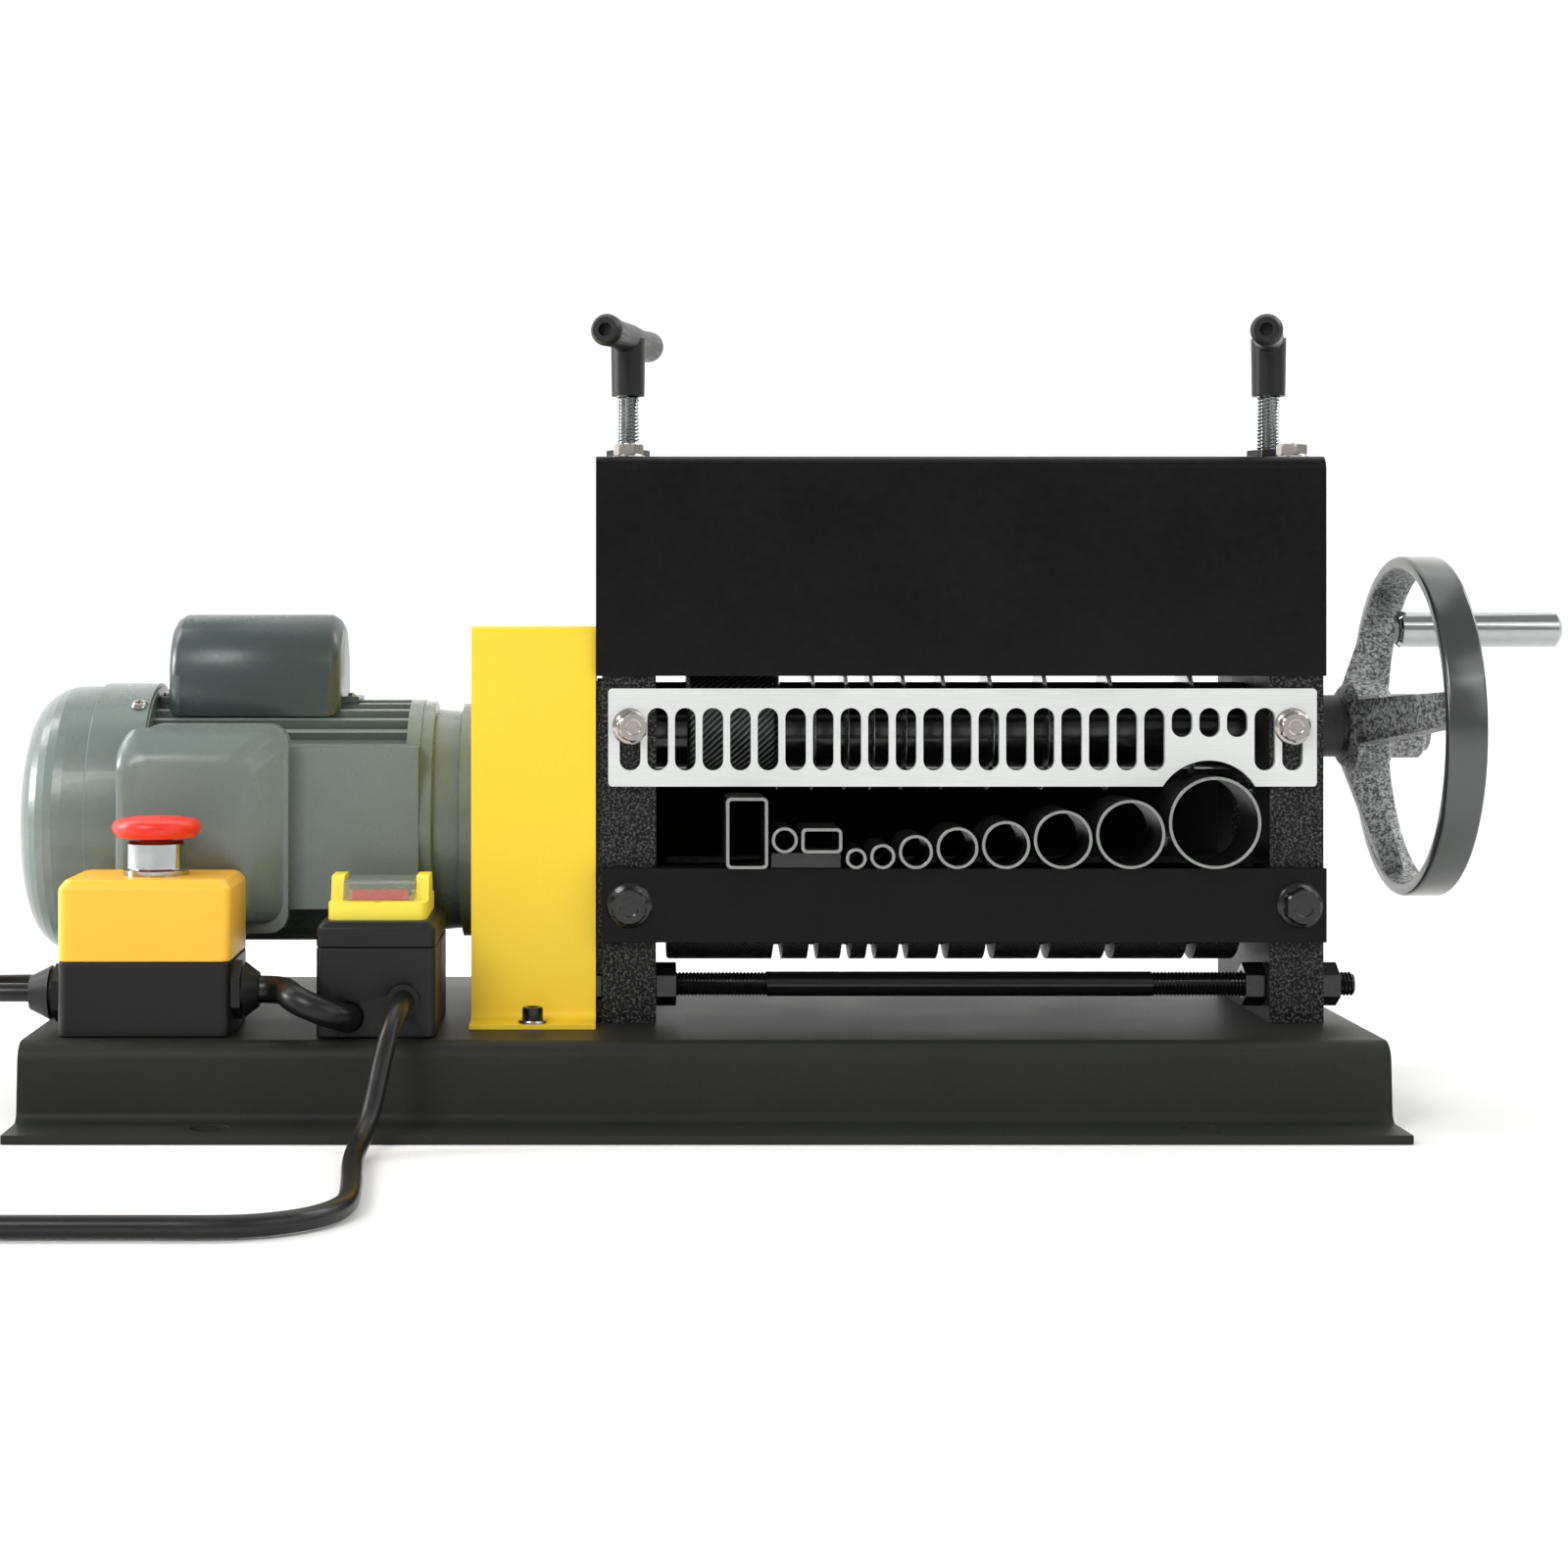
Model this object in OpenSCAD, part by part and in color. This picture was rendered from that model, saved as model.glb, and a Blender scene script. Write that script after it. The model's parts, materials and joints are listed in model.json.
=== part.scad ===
/* [Base] */
// length of the folded base
base_len = 630; // [540:5:760]
// depth over the two flanges
base_depth = 310; // [290:5:360]
// depth of the deck
deck_depth = 240; // [225:1:260]
// height of the deck above the bench
base_h = 40; // [30:1:60]
// sheet of the base
base_t = 4; // [3:0.5:6]
// outside bend radius of the base
base_r = 9; // [7:0.5:12]
// holes for the bench bolts
foot_hole_d = 18; // [10:1:22]
// spacing of the bench bolts along the base
foot_pitch = 448; // [380:2:520]

/* [Head] */
// clear length between the end plates
head_gap = 295; // [285:1:320]
// middle of the head along the base
head_x = 126.5; // [120:0.5:130]
// thickness of an end plate
cheek_t = 26; // [22:1:30]
// depth of an end plate
cheek_d = 110; // [104:1:116]
// height of an end plate
cheek_h = 271; // [268:1:290]
// width of the window for a bearing block
window_w = 44; // [40:1:48]
// bottom of the window above the deck
window_low = 72; // [70:1:76]
// thickness of the bridge over the window
bridge_h = 21; // [16:1:26]
// sheet of the top cover
cover_t = 2; // [1.5:0.5:3]
// bottom edge of the cover above the deck
cover_low = 167; // [164:1:175]
// bend radius of the cover
cover_r = 7; // [4:0.5:12]

/* [Rollers and blades] */
// feed roller axis above the deck
roller_h = 50; // [49:0.5:51]
// diameter of the feed roller
roller_d = 51; // [46:1:52]
// depth of a groove in the feed roller
groove_depth = 7; // [3:0.5:9]
// width of a groove in the feed roller
groove_w = 5; // [3:0.5:8]
// diameter of the feed roller shaft
feed_shaft_d = 20; // [16:1:22]
// wall of a shaft bush
bush_wall = 4; // [2.5:0.5:5]
// blade shaft axis above the deck, blades raised
blade_h = 141; // [140:0.5:142]
// diameter of the blade shaft
blade_shaft_d = 25; // [20:1:26]
// diameter of a blade
blade_d = 64; // [60:1:66]
// thickness of a blade
blade_t = 2; // [1.2:0.2:3]
// diameter of the spacers between the blades
spacer_d = 44; // [36:1:48]
// diameter of the knurled roller
knurl_d = 56; // [50:1:60]
// height of a bearing block
block_h = 52; // [48:1:54]
// wire of a return spring
spring_wire = 2.6; // [2:0.2:3]
// mean diameter of a return spring
spring_d = 19; // [15:1:22]
// working loops of a return spring
spring_loops = 4.5; // [3:0.5:5]

/* [Wire guides] */
// outside widths of the guides, from left to right
guide_w = [20, 12.5, 19.5, 10, 12, 16.3, 20, 23, 28, 33, 44];
// left edge of the first guide from the left end plate
guide_start = 33; // [31:0.5:35]
// gap between neighbouring guides
guide_gap = 1.6; // [1:0.1:2]
// wall of a guide
guide_wall = 1.6; // [1:0.1:2]
// length of a guide
guide_len = 37; // [30:1:38]
// height of the tall guide
tall_guide_h = 34; // [26:1:36]
// height of the flat guide
flat_guide_h = 12; // [8:1:14]
// thickness of the front bar
bar_t = 6; // [4:0.5:8]
// height of the front bar
bar_h = 35.5; // [30:0.5:36]
// sheet of the slotted guard
guard_t = 3; // [2:0.5:4]
// height of the slotted guard
guard_h = 47; // [44:1:50]
// number of slots in the guard
slot_count = 25; // [15:1:25]
// width of a slot
slot_w = 10; // [5:0.5:10.5]
// height of a slot
slot_h = 30; // [20:1:32]
// diameter of the tie rod
tie_d = 12; // [10:1:14]

/* [Handwheel and screws] */
// outside diameter of the handwheel
wheel_d = 170; // [150:2:180]
// width of the handwheel rim
rim_w = 19; // [14:1:24]
// thickness of the rim
rim_t = 7; // [5:0.5:10]
// diameter of the handwheel hub
hub_d = 46; // [40:1:52]
// length of the hub
hub_len = 39; // [34:1:44]
// diameter of the crank grip
grip_d = 18.5; // [15:0.5:22]
// length of the crank grip
grip_len = 83; // [70:1:100]
// diameter of the pressure screws
screw_d = 12; // [10:1:14]
// length of a T-handle bar
tee_len = 90; // [70:1:100]
// diameter of a T-handle bar
tee_d = 15; // [12:0.5:18]
// working stroke of the blades
stroke = 26.25; // [20:1.75:26.25]

/* [Drive] */
// module of the gears
gear_m = 2; // [1.9:0.05:2.05]
// teeth of the gear on the feed roller
gear_teeth = 38; // [36:1:38]
// teeth of the motor pinion
pinion_teeth = 22; // [20:1:24]
// motor axis above the feed roller axis
motor_rise = 41; // [39:0.5:43]
// radius of the finned motor body
stator_r = 62; // [59:0.5:63]
// length of the finned body
stator_len = 137; // [130:1:150]
// radius of the fan cover
cowl_r = 70.5; // [69:0.5:74]
// length of the fan cover
cowl_len = 63; // [56:1:80]
// number of cooling fins round the motor
fin_count = 40; // [30:1:44]
// width of the drive guard
drive_w = 60; // [56:1:64]
// height of the drive guard
drive_h = 191; // [180:1:210]

/* [Switches and leads] */
// width of the stop box
stop_w = 80.5; // [70:0.5:82]
// depth of the stop box
stop_d = 60; // [52:1:60]
// height of the stop box
stop_h = 73; // [62:1:80]
// diameter of the stop mushroom
stop_cap_d = 42; // [34:1:48]
// width of the switch box
switch_w = 55.5; // [52:0.5:58]
// depth of the switch box
switch_d = 84; // [78:1:84]
// height of the switch box
switch_h = 54; // [50:1:60]
// diameter of the mains lead
mains_d = 9; // [7:0.5:9]
// diameter of the motor lead
motor_lead_d = 9; // [7:0.5:10]
// diameter of the link sleeve
link_d = 13; // [11:0.5:13]

/* [Hidden] */
$fn = 64;
// radial gap of pieces that stay put
fit_gap = 0.1;
// radial gap of turning pieces
run_gap = 0.06;
// gap on each side of sliding pieces
slide_gap = 0.1;
deck = base_h;
head_y = -5;
x_left_in = head_x - head_gap / 2;
x_left_out = x_left_in - cheek_t;
x_right_in = head_x + head_gap / 2;
x_right_out = x_right_in + cheek_t;
x_left_mid = x_left_in - cheek_t / 2;
x_right_mid = x_right_in + cheek_t / 2;
cheek_mids = [x_left_mid, x_right_mid];
front_y = head_y - cheek_d / 2;
back_y = head_y + cheek_d / 2;
cheek_top = deck + cheek_h;
cover_top = cheek_top + cover_t;
cover_over = 3;
roller_z = deck + roller_h;
blade_z = deck + blade_h;
window_low_z = deck + window_low;
window_top_z = cheek_top - bridge_h;
foot_y = (base_depth + deck_depth) / 4;
tie_y = front_y + 15;
tie_z = deck + 17;
nut_h = 6;
nut_af = 1.6 * screw_d;
block_top = blade_z + block_h / 2;
block_low = blade_z - block_h / 2;
collar_d = 1.5 * screw_d;
collar_h = 4;
collar_z = block_top - 4.5 - collar_h;
tee_low = cover_top + nut_h + stroke + 0.75;
tee_z = tee_low + 29;
tee_turn = -15;
stem_d = tee_d + 2.5;
guide_z = roller_z + roller_d / 2;
guide_back = head_y - blade_d / 2 - 2;
guide_pack = 7.5;
bar_top = guide_z - 0.5;
bar_low = bar_top - bar_h;
guard_low = deck + 114;
slot_first = x_left_mid + 0.5;
slot_last = x_right_mid - 2.7;
slot_pitch = (slot_last - slot_first) / (slot_count - 1);
slot_mid_z = guard_low + guard_h / 2 - 0.8;
flange_bolt_d = 8;
cover_bolt_at = [[x_left_mid, head_y - 28], [x_right_mid + 4.5, head_y - 28]];
bar_bolt_d = 10;
deck_bolt_d = 10;
wheel_x = x_right_out + 23;
rim_x = wheel_x + 28;
spoke_angle = 52;
crank_r = 0.36 * wheel_d;
crank_pin_d = 9;
grip_x = wheel_x + 39;
bush_r = feed_shaft_d / 2 + bush_wall;
gear_dist = gear_m * (gear_teeth + pinion_teeth) / 2;
motor_y = head_y + sqrt(gear_dist * gear_dist - motor_rise * motor_rise);
motor_z = roller_z + motor_rise;
mesh_angle = atan2(motor_rise, motor_y - head_y);
drive_x1 = x_left_out - 3;
drive_x0 = drive_x1 - drive_w;
drive_front = front_y + 2;
drive_back = back_y + 25;
drive_t = 2;
gear_x = drive_x0 + 20;
gear_w = 16;
motor_shaft_d = 19;
gear_head_len = 28;
stator_x1 = drive_x0 - gear_head_len;
stator_x0 = stator_x1 - stator_len;
cowl_x1 = stator_x0;
cowl_x0 = cowl_x1 - cowl_len;
cowl_t = 1.8;
pad_y = motor_y - stator_r;
cap_x0 = stator_x0 + 8;
cap_x1 = cap_x0 + 87;
term_x0 = stator_x0 + 2;
term_x1 = stator_x0 + 74;
term_low = motor_z - 51;
term_high = motor_z + 52;
feet_x = [stator_x0 + 25, stator_x1 - 22];
foot_w = 26;
foot_half = 42;
stop_x0 = -300;
stop_x1 = stop_x0 + stop_w;
stop_y0 = -106;
stop_split = deck + 0.48 * stop_h;
stop_top = deck + stop_h;
stop_mid = [stop_x0 + 41.5, stop_y0 + stop_d / 2];
collar_out_d = 28;
collar_len = 18;
plunger_d = 15;
cap_z = stop_top + collar_len;
gland_z = deck + 17;
gland_d = 26;
motor_gland_y = stop_y0 + stop_d / 2;
link_gland_y = stop_y0 + 14;
lead_back_y = motor_gland_y + 86;
lead_low_z = deck + 10;
switch_x0 = -179.5;
switch_x1 = switch_x0 + switch_w;
switch_y0 = -108;
switch_mid = [switch_x0 + switch_w / 2, switch_y0 + 38];
switch_top = deck + switch_h;
switch_split = switch_top - 12;
bezel_w = 46;
bezel_d = 62;
button_w = 26;
button_d = 15;
button_travel = 3;
mains_x = switch_x0 + 40.7;
mains_z = deck + 17.8;
lay_z = mains_d / 2;

// unit vector
function unit(v) = v / norm(v);
// normal on the left of a line
function left_of(a, b) = [a[1] - b[1], b[0] - a[0]] / norm(b - a);
// smooth step from 0 to 1
function smooth(t) = t <= 0 ? 0 : t >= 1 ? 1 : t * t * (3 - 2 * t);
// sum of the first n values of a list
function sum_to(v, n) = n <= 0 ? 0 : v[n - 1] + sum_to(v, n - 1);
// turn direction of a corner
function cross2(a, b, c) = (b[0] - a[0]) * (c[1] - b[1]) - (b[1] - a[1]) * (c[0] - b[0]);
// points of a rounded corner at b
function corner(a, b, c, r, n = 6) =
  r <= 0 ? [b] :
  let(u = unit(a - b), v = unit(c - b), h = acos(u * v) / 2, m = b + unit(u + v) * r / sin(h))
  let(p = b + u * r / tan(h) - m, q = b + v * r / tan(h) - m, w = 180 - 2 * h)
  [for (i = [0:n]) m + (p * sin(w * (1 - i / n)) + q * sin(w * i / n)) / sin(w)];
// closed outline with rounded corners
function rounded(p, r) = [for (i = [0:len(p) - 1])
  each corner(p[(i + len(p) - 1) % len(p)], p[i], p[(i + 1) % len(p)], r)];
// rectangle outline with rounded corners
function round_rect(x0, y0, x1, y1, r) = rounded([[x0, y0], [x1, y0], [x1, y1], [x0, y1]], r);
// point of a line moved sideways by t
function beside(p, i, t) =
  i == 0 ? p[0] + t * left_of(p[0], p[1]) :
  i == len(p) - 1 ? p[i] + t * left_of(p[i - 1], p[i]) :
  let(m = left_of(p[i - 1], p[i]), n = left_of(p[i], p[i + 1])) p[i] + t * (m + n) / (1 + m * n);
// one face of a bent sheet, lying on the right of the line for a negative t
function bent_line(p, q, t, r, far) = [for (i = [0:len(p) - 1])
  each i == 0 || i == len(p) - 1 ? [q[i]] :
  corner(q[i - 1], q[i], q[i + 1], (cross2(p[i - 1], p[i], p[i + 1]) > 0) == far ? r : r - t)];
// outline of a bent sheet on the right of a line
function bent_sheet(p, t, r) =
  let(q = [for (i = [0:len(p) - 1]) beside(p, i, -t)], back = bent_line(p, q, t, r, true))
  concat(bent_line(p, p, t, r, false), [for (i = [len(back) - 1:-1:0]) back[i]]);
// points of an arc in the XY plane
function arc(c, r, a0, a1, n) = [for (i = [0:n]) let(a = a0 + (a1 - a0) * i / n)
  [c[0] + r * cos(a), c[1] + r * sin(a)]];
// path length up to each point
function run_to(p) = [for (i = 0, s = 0; i < len(p); s = s + (i < len(p) - 1 ? norm(p[i + 1] - p[i]) : 0),
  i = i + 1) s];
// direction of a path at a point
function heading(p, i) =
  unit(p[min(i + 1, len(p) - 1)] - p[max(i - 1, 0)]);
// side vector kept square to a path
function square_to(n, t) = unit(n - (n * t) * t);
// rings of a tube along a path
function rings(p, r, k) =
  let(start = abs(heading(p, 0)[2]) > 0.9 ? [1, 0, 0] : [0, 0, 1])
  let(side = [for (i = 0, n = square_to(start, heading(p, 0)); i < len(p);
    i = i + 1, n = i < len(p) ? square_to(n, heading(p, i)) : n) n])
  [for (i = [0:len(p) - 1]) let(t = heading(p, i), u = side[i], v = cross(t, u))
    for (j = [0:k - 1]) p[i] + r * (u * cos(360 * j / k) + v * sin(360 * j / k))];
// least gap of a tube to its own later loops
function own_gap(p, d, apart) = min([for (i = [0:len(p) - 1]) for (j = [i + apart:1:len(p) - 1])
  norm(p[i] - p[j])]) - d;
// middle of a guide along the head
function guide_x(i) = x_left_in + guide_start + sum_to(guide_w, i) + i * guide_gap + guide_w[i] / 2;
guide_last = len(guide_w) - 1;
// involute of an angle
function inv(a) = tan(a) * 180 / PI - a;
// half width of a tooth at a radius, in degrees
function tooth_half(z, r) =
  let(rb = gear_m * z / 2 * cos(20)) 90 / z - 6 / z + inv(20) - inv(r > rb ? acos(rb / r) : 0);
// outline of a gear
function gear_points(z) =
  let(rf = gear_m * (z / 2 - 1.25), ra = gear_m * (z / 2 + 1), rb = max(rf, gear_m * z / 2 * cos(20)))
  let(flank = [for (i = [0:4]) rb + (ra - rb) * i / 4])
  [for (k = [0:z - 1]) let(a = 360 * k / z) each concat(
    [rf * [cos(a - tooth_half(z, rb)), sin(a - tooth_half(z, rb))]],
    [for (r = flank) r * [cos(a - tooth_half(z, r)), sin(a - tooth_half(z, r))]],
    [for (i = [4:-1:0]) flank[i] * [cos(a + tooth_half(z, flank[i])), sin(a + tooth_half(z, flank[i]))]],
    [rf * [cos(a + tooth_half(z, rb)), sin(a + tooth_half(z, rb))]])];

// loops of a return spring from the window up to the block
spring_base = window_low_z + spring_wire / 2;
spring_rise = block_low - window_low_z - spring_wire;
spring_n = ceil(spring_loops * 8);
spring_points = concat(
  [[spring_d / 2, -spring_wire, spring_base]],
  [for (i = [0:spring_n]) let(a = 360 * spring_loops * i / spring_n)
    [spring_d / 2 * cos(a), spring_d / 2 * sin(a), spring_base + spring_rise * i / spring_n]],
  [[spring_d / 2 * cos(360 * spring_loops) - spring_wire * sin(360 * spring_loops),
    spring_d / 2 * sin(360 * spring_loops) + spring_wire * cos(360 * spring_loops),
    spring_base + spring_rise]]);
echo(spring_gap = own_gap(spring_points, spring_wire, 6));

// route of the mains lead down to the bench
drop_a = 55;
drop_r = 4.7 * mains_d;
drop_fall = (mains_z - lay_z - 2 * drop_r * (1 - cos(drop_a))) / sin(drop_a);
drop_yz = concat(
  [[switch_y0 + 8, mains_z], [switch_y0 - 1, mains_z]],
  [for (i = [0:4]) let(a = drop_a * i / 4)
    [switch_y0 - 6 - drop_r * sin(a), mains_z - drop_r * (1 - cos(a))]],
  [for (i = [0:4]) let(a = drop_a * (1 - i / 4))
    [switch_y0 - 6 - drop_r * (2 * sin(drop_a) - sin(a)) - drop_fall * cos(drop_a),
     lay_z + drop_r * (1 - cos(a))]]);
table_y = drop_yz[len(drop_yz) - 1][0];
turn_y = table_y - 100;
turn_r = 5 * mains_d;
// sideways drift of the lead
function drift(y) = mains_x - 14 * smooth((switch_y0 - 6 - y) / 80) + 6 * smooth((table_y - y) / 100);
turn_x = drift(turn_y);
coil_r = 59;
coil_step = mains_d + 1;
coil_turns = 2;
coil_x = turn_x - turn_r - 170;
coil_y = turn_y - turn_r + coil_r;
mains_points = concat(
  [for (p = drop_yz) [drift(p[0]), p[0], p[1]]],
  [for (i = [1:4]) let(y = table_y - 20 * i) [drift(y), y, lay_z]],
  [for (p = arc([turn_x - turn_r, turn_y], turn_r, 0, -90, 6)) [p[0], p[1], lay_z]],
  [for (i = [1:6]) [turn_x - turn_r + i * (coil_x + mains_d - turn_x + turn_r) / 6, turn_y - turn_r, lay_z]]);
// two layers of loops, in and out again
coil_n = 2 * coil_turns * 24;
function coil_at(t) = coil_r - coil_step * (coil_turns - abs(t - coil_turns));
coil_points = concat(
  [[coil_x + mains_d, coil_y - coil_r, lay_z]],
  [for (i = [0:coil_n]) let(t = i / 24, a = -90 - 360 * t, r = coil_at(t))
    [coil_x + r * cos(a), coil_y + r * sin(a),
     lay_z + coil_step * smooth((t - coil_turns + 0.25) / 0.5)]],
  [for (i = [1:4]) [coil_x - 13 * i, coil_y - coil_r, lay_z + coil_step]]);
echo(coil_gap = own_gap(coil_points, mains_d, 14));
plug_end = coil_points[len(coil_points) - 1];

// route of the motor lead round the left end
lead_r = (lead_back_y - motor_gland_y) / 2;
lead_x = stop_x0 - 30;
motor_points = concat(
  [[stop_x0 - 8, motor_gland_y, gland_z], [stop_x0 - 20, motor_gland_y, gland_z]],
  [for (i = [0:12]) let(a = -90 - 15 * i)
    [lead_x + lead_r * cos(a), motor_gland_y + lead_r + lead_r * sin(a),
     gland_z + (lead_low_z - gland_z) * smooth(i / 12)]],
  [for (i = [1:3]) [lead_x + i * (feet_x[0] - foot_w / 2 - 6 - lead_x) / 3, lead_back_y, lead_low_z]]);

// route of the rubber sleeve between the two boxes
link_r = 14;
link_a = 75;
link_z = gland_z + 3.7;
link_low = deck + 10;
link_start = [stop_x1 + 12.5, link_gland_y];
link_e1 = link_start + link_r * [sin(link_a), cos(link_a) - 1];
link_e2 = link_e1 + (link_e1[1] - switch_y0 + 4) * [cos(link_a), -sin(link_a)];
link_c = link_e2 + (link_r - 0.5) * [sin(link_a), cos(link_a)];
link_flat = concat(
  [link_start - [7, 0]],
  arc(link_start - [0, link_r], link_r, 90, 90 - link_a, 5),
  arc(link_c, link_r - 0.5, 180 + 90 - link_a, 360, 10),
  [[link_c[0] + link_r - 0.5, switch_y0 + 6]]);
link_run = run_to(link_flat);
link_points = [for (i = [0:len(link_flat) - 1])
  [link_flat[i][0], link_flat[i][1],
   link_z + (link_low - link_z) * smooth((link_run[i] / link_run[len(link_run) - 2] - 0.45) / 0.55)]];

// outline in Y and Z pulled along X
module along_x(x, len) {
  translate([x, 0, 0]) rotate([90, 0, 90]) linear_extrude(len) children();
}
// outline in X and Z pulled along Y from y0 to y1
module along_y(y0, y1) {
  translate([0, y1, 0]) rotate([90, 0, 0]) linear_extrude(y1 - y0) children();
}
// round bar along X
module rod_x(x0, x1, y, z, d) {
  translate([x0, y, z]) rotate([0, 90, 0]) cylinder(d = d, h = x1 - x0);
}
// round bar along Y
module rod_y(y0, y1, x, z, d) {
  translate([x, y1, z]) rotate([90, 0, 0]) cylinder(d = d, h = y1 - y0);
}
// profile of radius and length turned round an axis along X
module turned_x(y, z) {
  translate([0, y, z]) rotate([90, 0, 90]) rotate_extrude() children();
}
// hexagon head or nut along Z with a bored hole
module hexagon(af, h, bore = 0) {
  difference() {
    cylinder(d = af / cos(30), h = h, $fn = 6);
    if (bore > 0) translate([0, 0, -1]) cylinder(d = bore, h = h + 2);
  }
}
// flange bolt, head towards +Z
module flange_bolt(d, af, len) {
  cylinder(d = 2.2 * d, h = 1.8);
  translate([0, 0, 1.8]) hexagon(af, 0.7 * d);
  translate([0, 0, -len]) cylinder(d = d, h = len + 1);
}
// round tube along a path
module tube(p, d, k) {
  n = len(p);
  polyhedron(
    points = rings(p, d / 2, k),
    faces = concat(
      [[for (j = [k - 1:-1:0]) j]],
      [for (i = [0:n - 2]) for (j = [0:k - 1]) let(a = i * k + j, b = i * k + (j + 1) % k)
        each [[a, b, b + k], [a, b + k, a + k]]],
      [[for (j = [0:k - 1]) (n - 1) * k + j]]));
}
// cable gland along Z with a bored hole
module gland(d, h, bore) {
  difference() {
    union() {
      hexagon(d * 0.92, h * 0.35);
      cylinder(d = d * 0.84, h = h * 0.55);
      translate([0, 0, h * 0.45]) cylinder(d1 = d, d2 = d * 0.62, h = h * 0.55);
    }
    translate([0, 0, -1]) cylinder(d = bore, h = h + 2);
  }
}

module base_channel() {
  half = base_depth / 2;
  wall = deck_depth / 2;
  color("#2b2b2b") difference() {
    along_x(-base_len / 2, base_len) polygon(bent_sheet([[-half, base_t], [-wall - 3, base_t], [-wall, deck],
      [wall, deck], [wall + 3, base_t], [half, base_t]], base_t, base_r));
    for (x = [-1, 1]) for (y = [-1, 1])
      translate([x * foot_pitch / 2, y * foot_y, -1]) cylinder(d = foot_hole_d, h = base_t + 2);
    for (p = deck_bolt_at) translate([p[0], p[1], deck - base_t - 1])
      cylinder(d = deck_bolt_d + 2 * fit_gap, h = base_t + 2);
  }
}
deck_bolt_at = concat(
  [for (x = cheek_mids) for (s = [-1, 1]) [x, head_y + 22 * s]],
  [for (x = feet_x) for (s = [-1, 1]) [x, motor_y + 28 * s]]);
module deck_bolts() {
  color("#3a3a3a") for (p = deck_bolt_at) translate([p[0], p[1], deck - base_t]) {
    translate([0, 0, -6.4]) hexagon(17, 6.4);
    translate([0, 0, -1]) cylinder(d = deck_bolt_d, h = base_t + 17);
  }
}
// packing plate between the left cheek and the drive guard
plate_t = 2.6;
module cheek(x) {
  mid = x + cheek_t / 2;
  left = x < head_x;
  bolt = cover_bolt_at[left ? 0 : 1];
  color("#242424") difference() {
    union() {
      along_x(x, cheek_t) polygon(concat([[front_y, deck], [back_y, deck]],
        corner([back_y, deck], [back_y, cheek_top], [front_y, cheek_top], cover_r),
        corner([back_y, cheek_top], [front_y, cheek_top], [front_y, deck], cover_r)));
      if (left) translate([x - plate_t, front_y + 4, deck]) cube([plate_t + 1, cheek_d - 8, cover_low - 3]);
    }
    translate([x - 5, head_y - window_w / 2, window_low_z])
      cube([cheek_t + 6, window_w, window_top_z - window_low_z]);
    rod_x(x - 5, x + cheek_t + 1, head_y, roller_z, 2 * bush_r + 2 * fit_gap);
    rod_x(x - 5, x + cheek_t + 1, tie_y, tie_z, tie_d + 2 * fit_gap);
    rod_x(x - 5, x, tie_y, tie_z, 2.1 * tie_d);
    translate([mid, head_y, window_top_z - 1]) cylinder(d = screw_d + 2 * run_gap, h = bridge_h + 2);
    for (s = [-1, 1]) translate([mid, head_y + 22 * s, deck - 1])
      cylinder(d = deck_bolt_d + 2 * fit_gap, h = 18);
    rod_y(front_y - 1, front_y + 20, mid, bar_top - bar_h / 2, bar_bolt_d + 2 * fit_gap);
    rod_y(front_y - 1, front_y + 18, mid < 100 ? slot_first : slot_last, slot_mid_z + 6,
      flange_bolt_d + 2 * fit_gap);
    translate([bolt[0], bolt[1], cheek_top - 14]) cylinder(d = flange_bolt_d + 2 * fit_gap, h = 20);
    rod_y(back_y - 16, back_y + 1, mid, hood_bolt_z, flange_bolt_d + 2 * fit_gap);
  }
}
module left_cheek() {
  cheek(x_left_out);
}
module right_cheek() {
  cheek(x_right_in);
}
module top_cover() {
  color("#2e2e2e") difference() {
    along_x(x_left_out - cover_over, x_right_out - x_left_out + cover_over + 1)
      polygon(bent_sheet([[front_y - cover_t, deck + cover_low], [front_y - cover_t, cover_top],
        [back_y + cover_t, cover_top], [back_y + cover_t, deck + cover_low]], cover_t, cover_r));
    for (x = cheek_mids) translate([x, head_y, cheek_top - 1]) cylinder(d = screw_d + 2, h = cover_t + 2);
    for (p = cover_bolt_at) translate([p[0], p[1], cheek_top - 1])
      cylinder(d = flange_bolt_d + 0.6, h = cover_t + 2);
  }
}
hood_bolt_z = deck + cover_low - 23;
module bright_bolts() {
  color("#c9cbc8") {
    for (x = [slot_first, slot_last]) translate([x, front_y - guard_t, slot_mid_z + 6]) rotate([90, 0, 0])
      flange_bolt(flange_bolt_d, 13, guard_t + 15);
    for (p = cover_bolt_at) translate([p[0], p[1], cover_top]) flange_bolt(flange_bolt_d, 13, cover_t + 12);
    for (x = cheek_mids) translate([x, back_y + cover_t, hood_bolt_z]) rotate([-90, 0, 0])
      flange_bolt(flange_bolt_d, 13, cover_t + 13);
  }
}
module lock_nuts() {
  color("#3a3a3a") for (x = cheek_mids)
    translate([x, head_y, cover_top]) hexagon(nut_af, nut_h, screw_d + 2 * run_gap);
}
module front_guard() {
  cut_r = guide_w[guide_last] / 2 + 4;
  color("#d8dcd9") difference() {
    along_y(front_y - guard_t, front_y) difference() {
      polygon(round_rect(x_left_out + 3, guard_low, x_right_out - 4, guard_low + guard_h, 2));
      for (i = [0:slot_count - 1]) let(x = slot_first + i * slot_pitch,
        low = abs(x - guide_x(guide_last)) < 0.8 * cut_r ? slot_mid_z + 1 : slot_mid_z - slot_h / 2)
        polygon(round_rect(x - slot_w / 2, low, x + slot_w / 2, slot_mid_z + slot_h / 2, slot_w / 2 - 0.1));
      translate([guide_x(guide_last), guide_z + guide_w[guide_last] / 2 + 3]) circle(cut_r);
    }
  }
}
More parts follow.
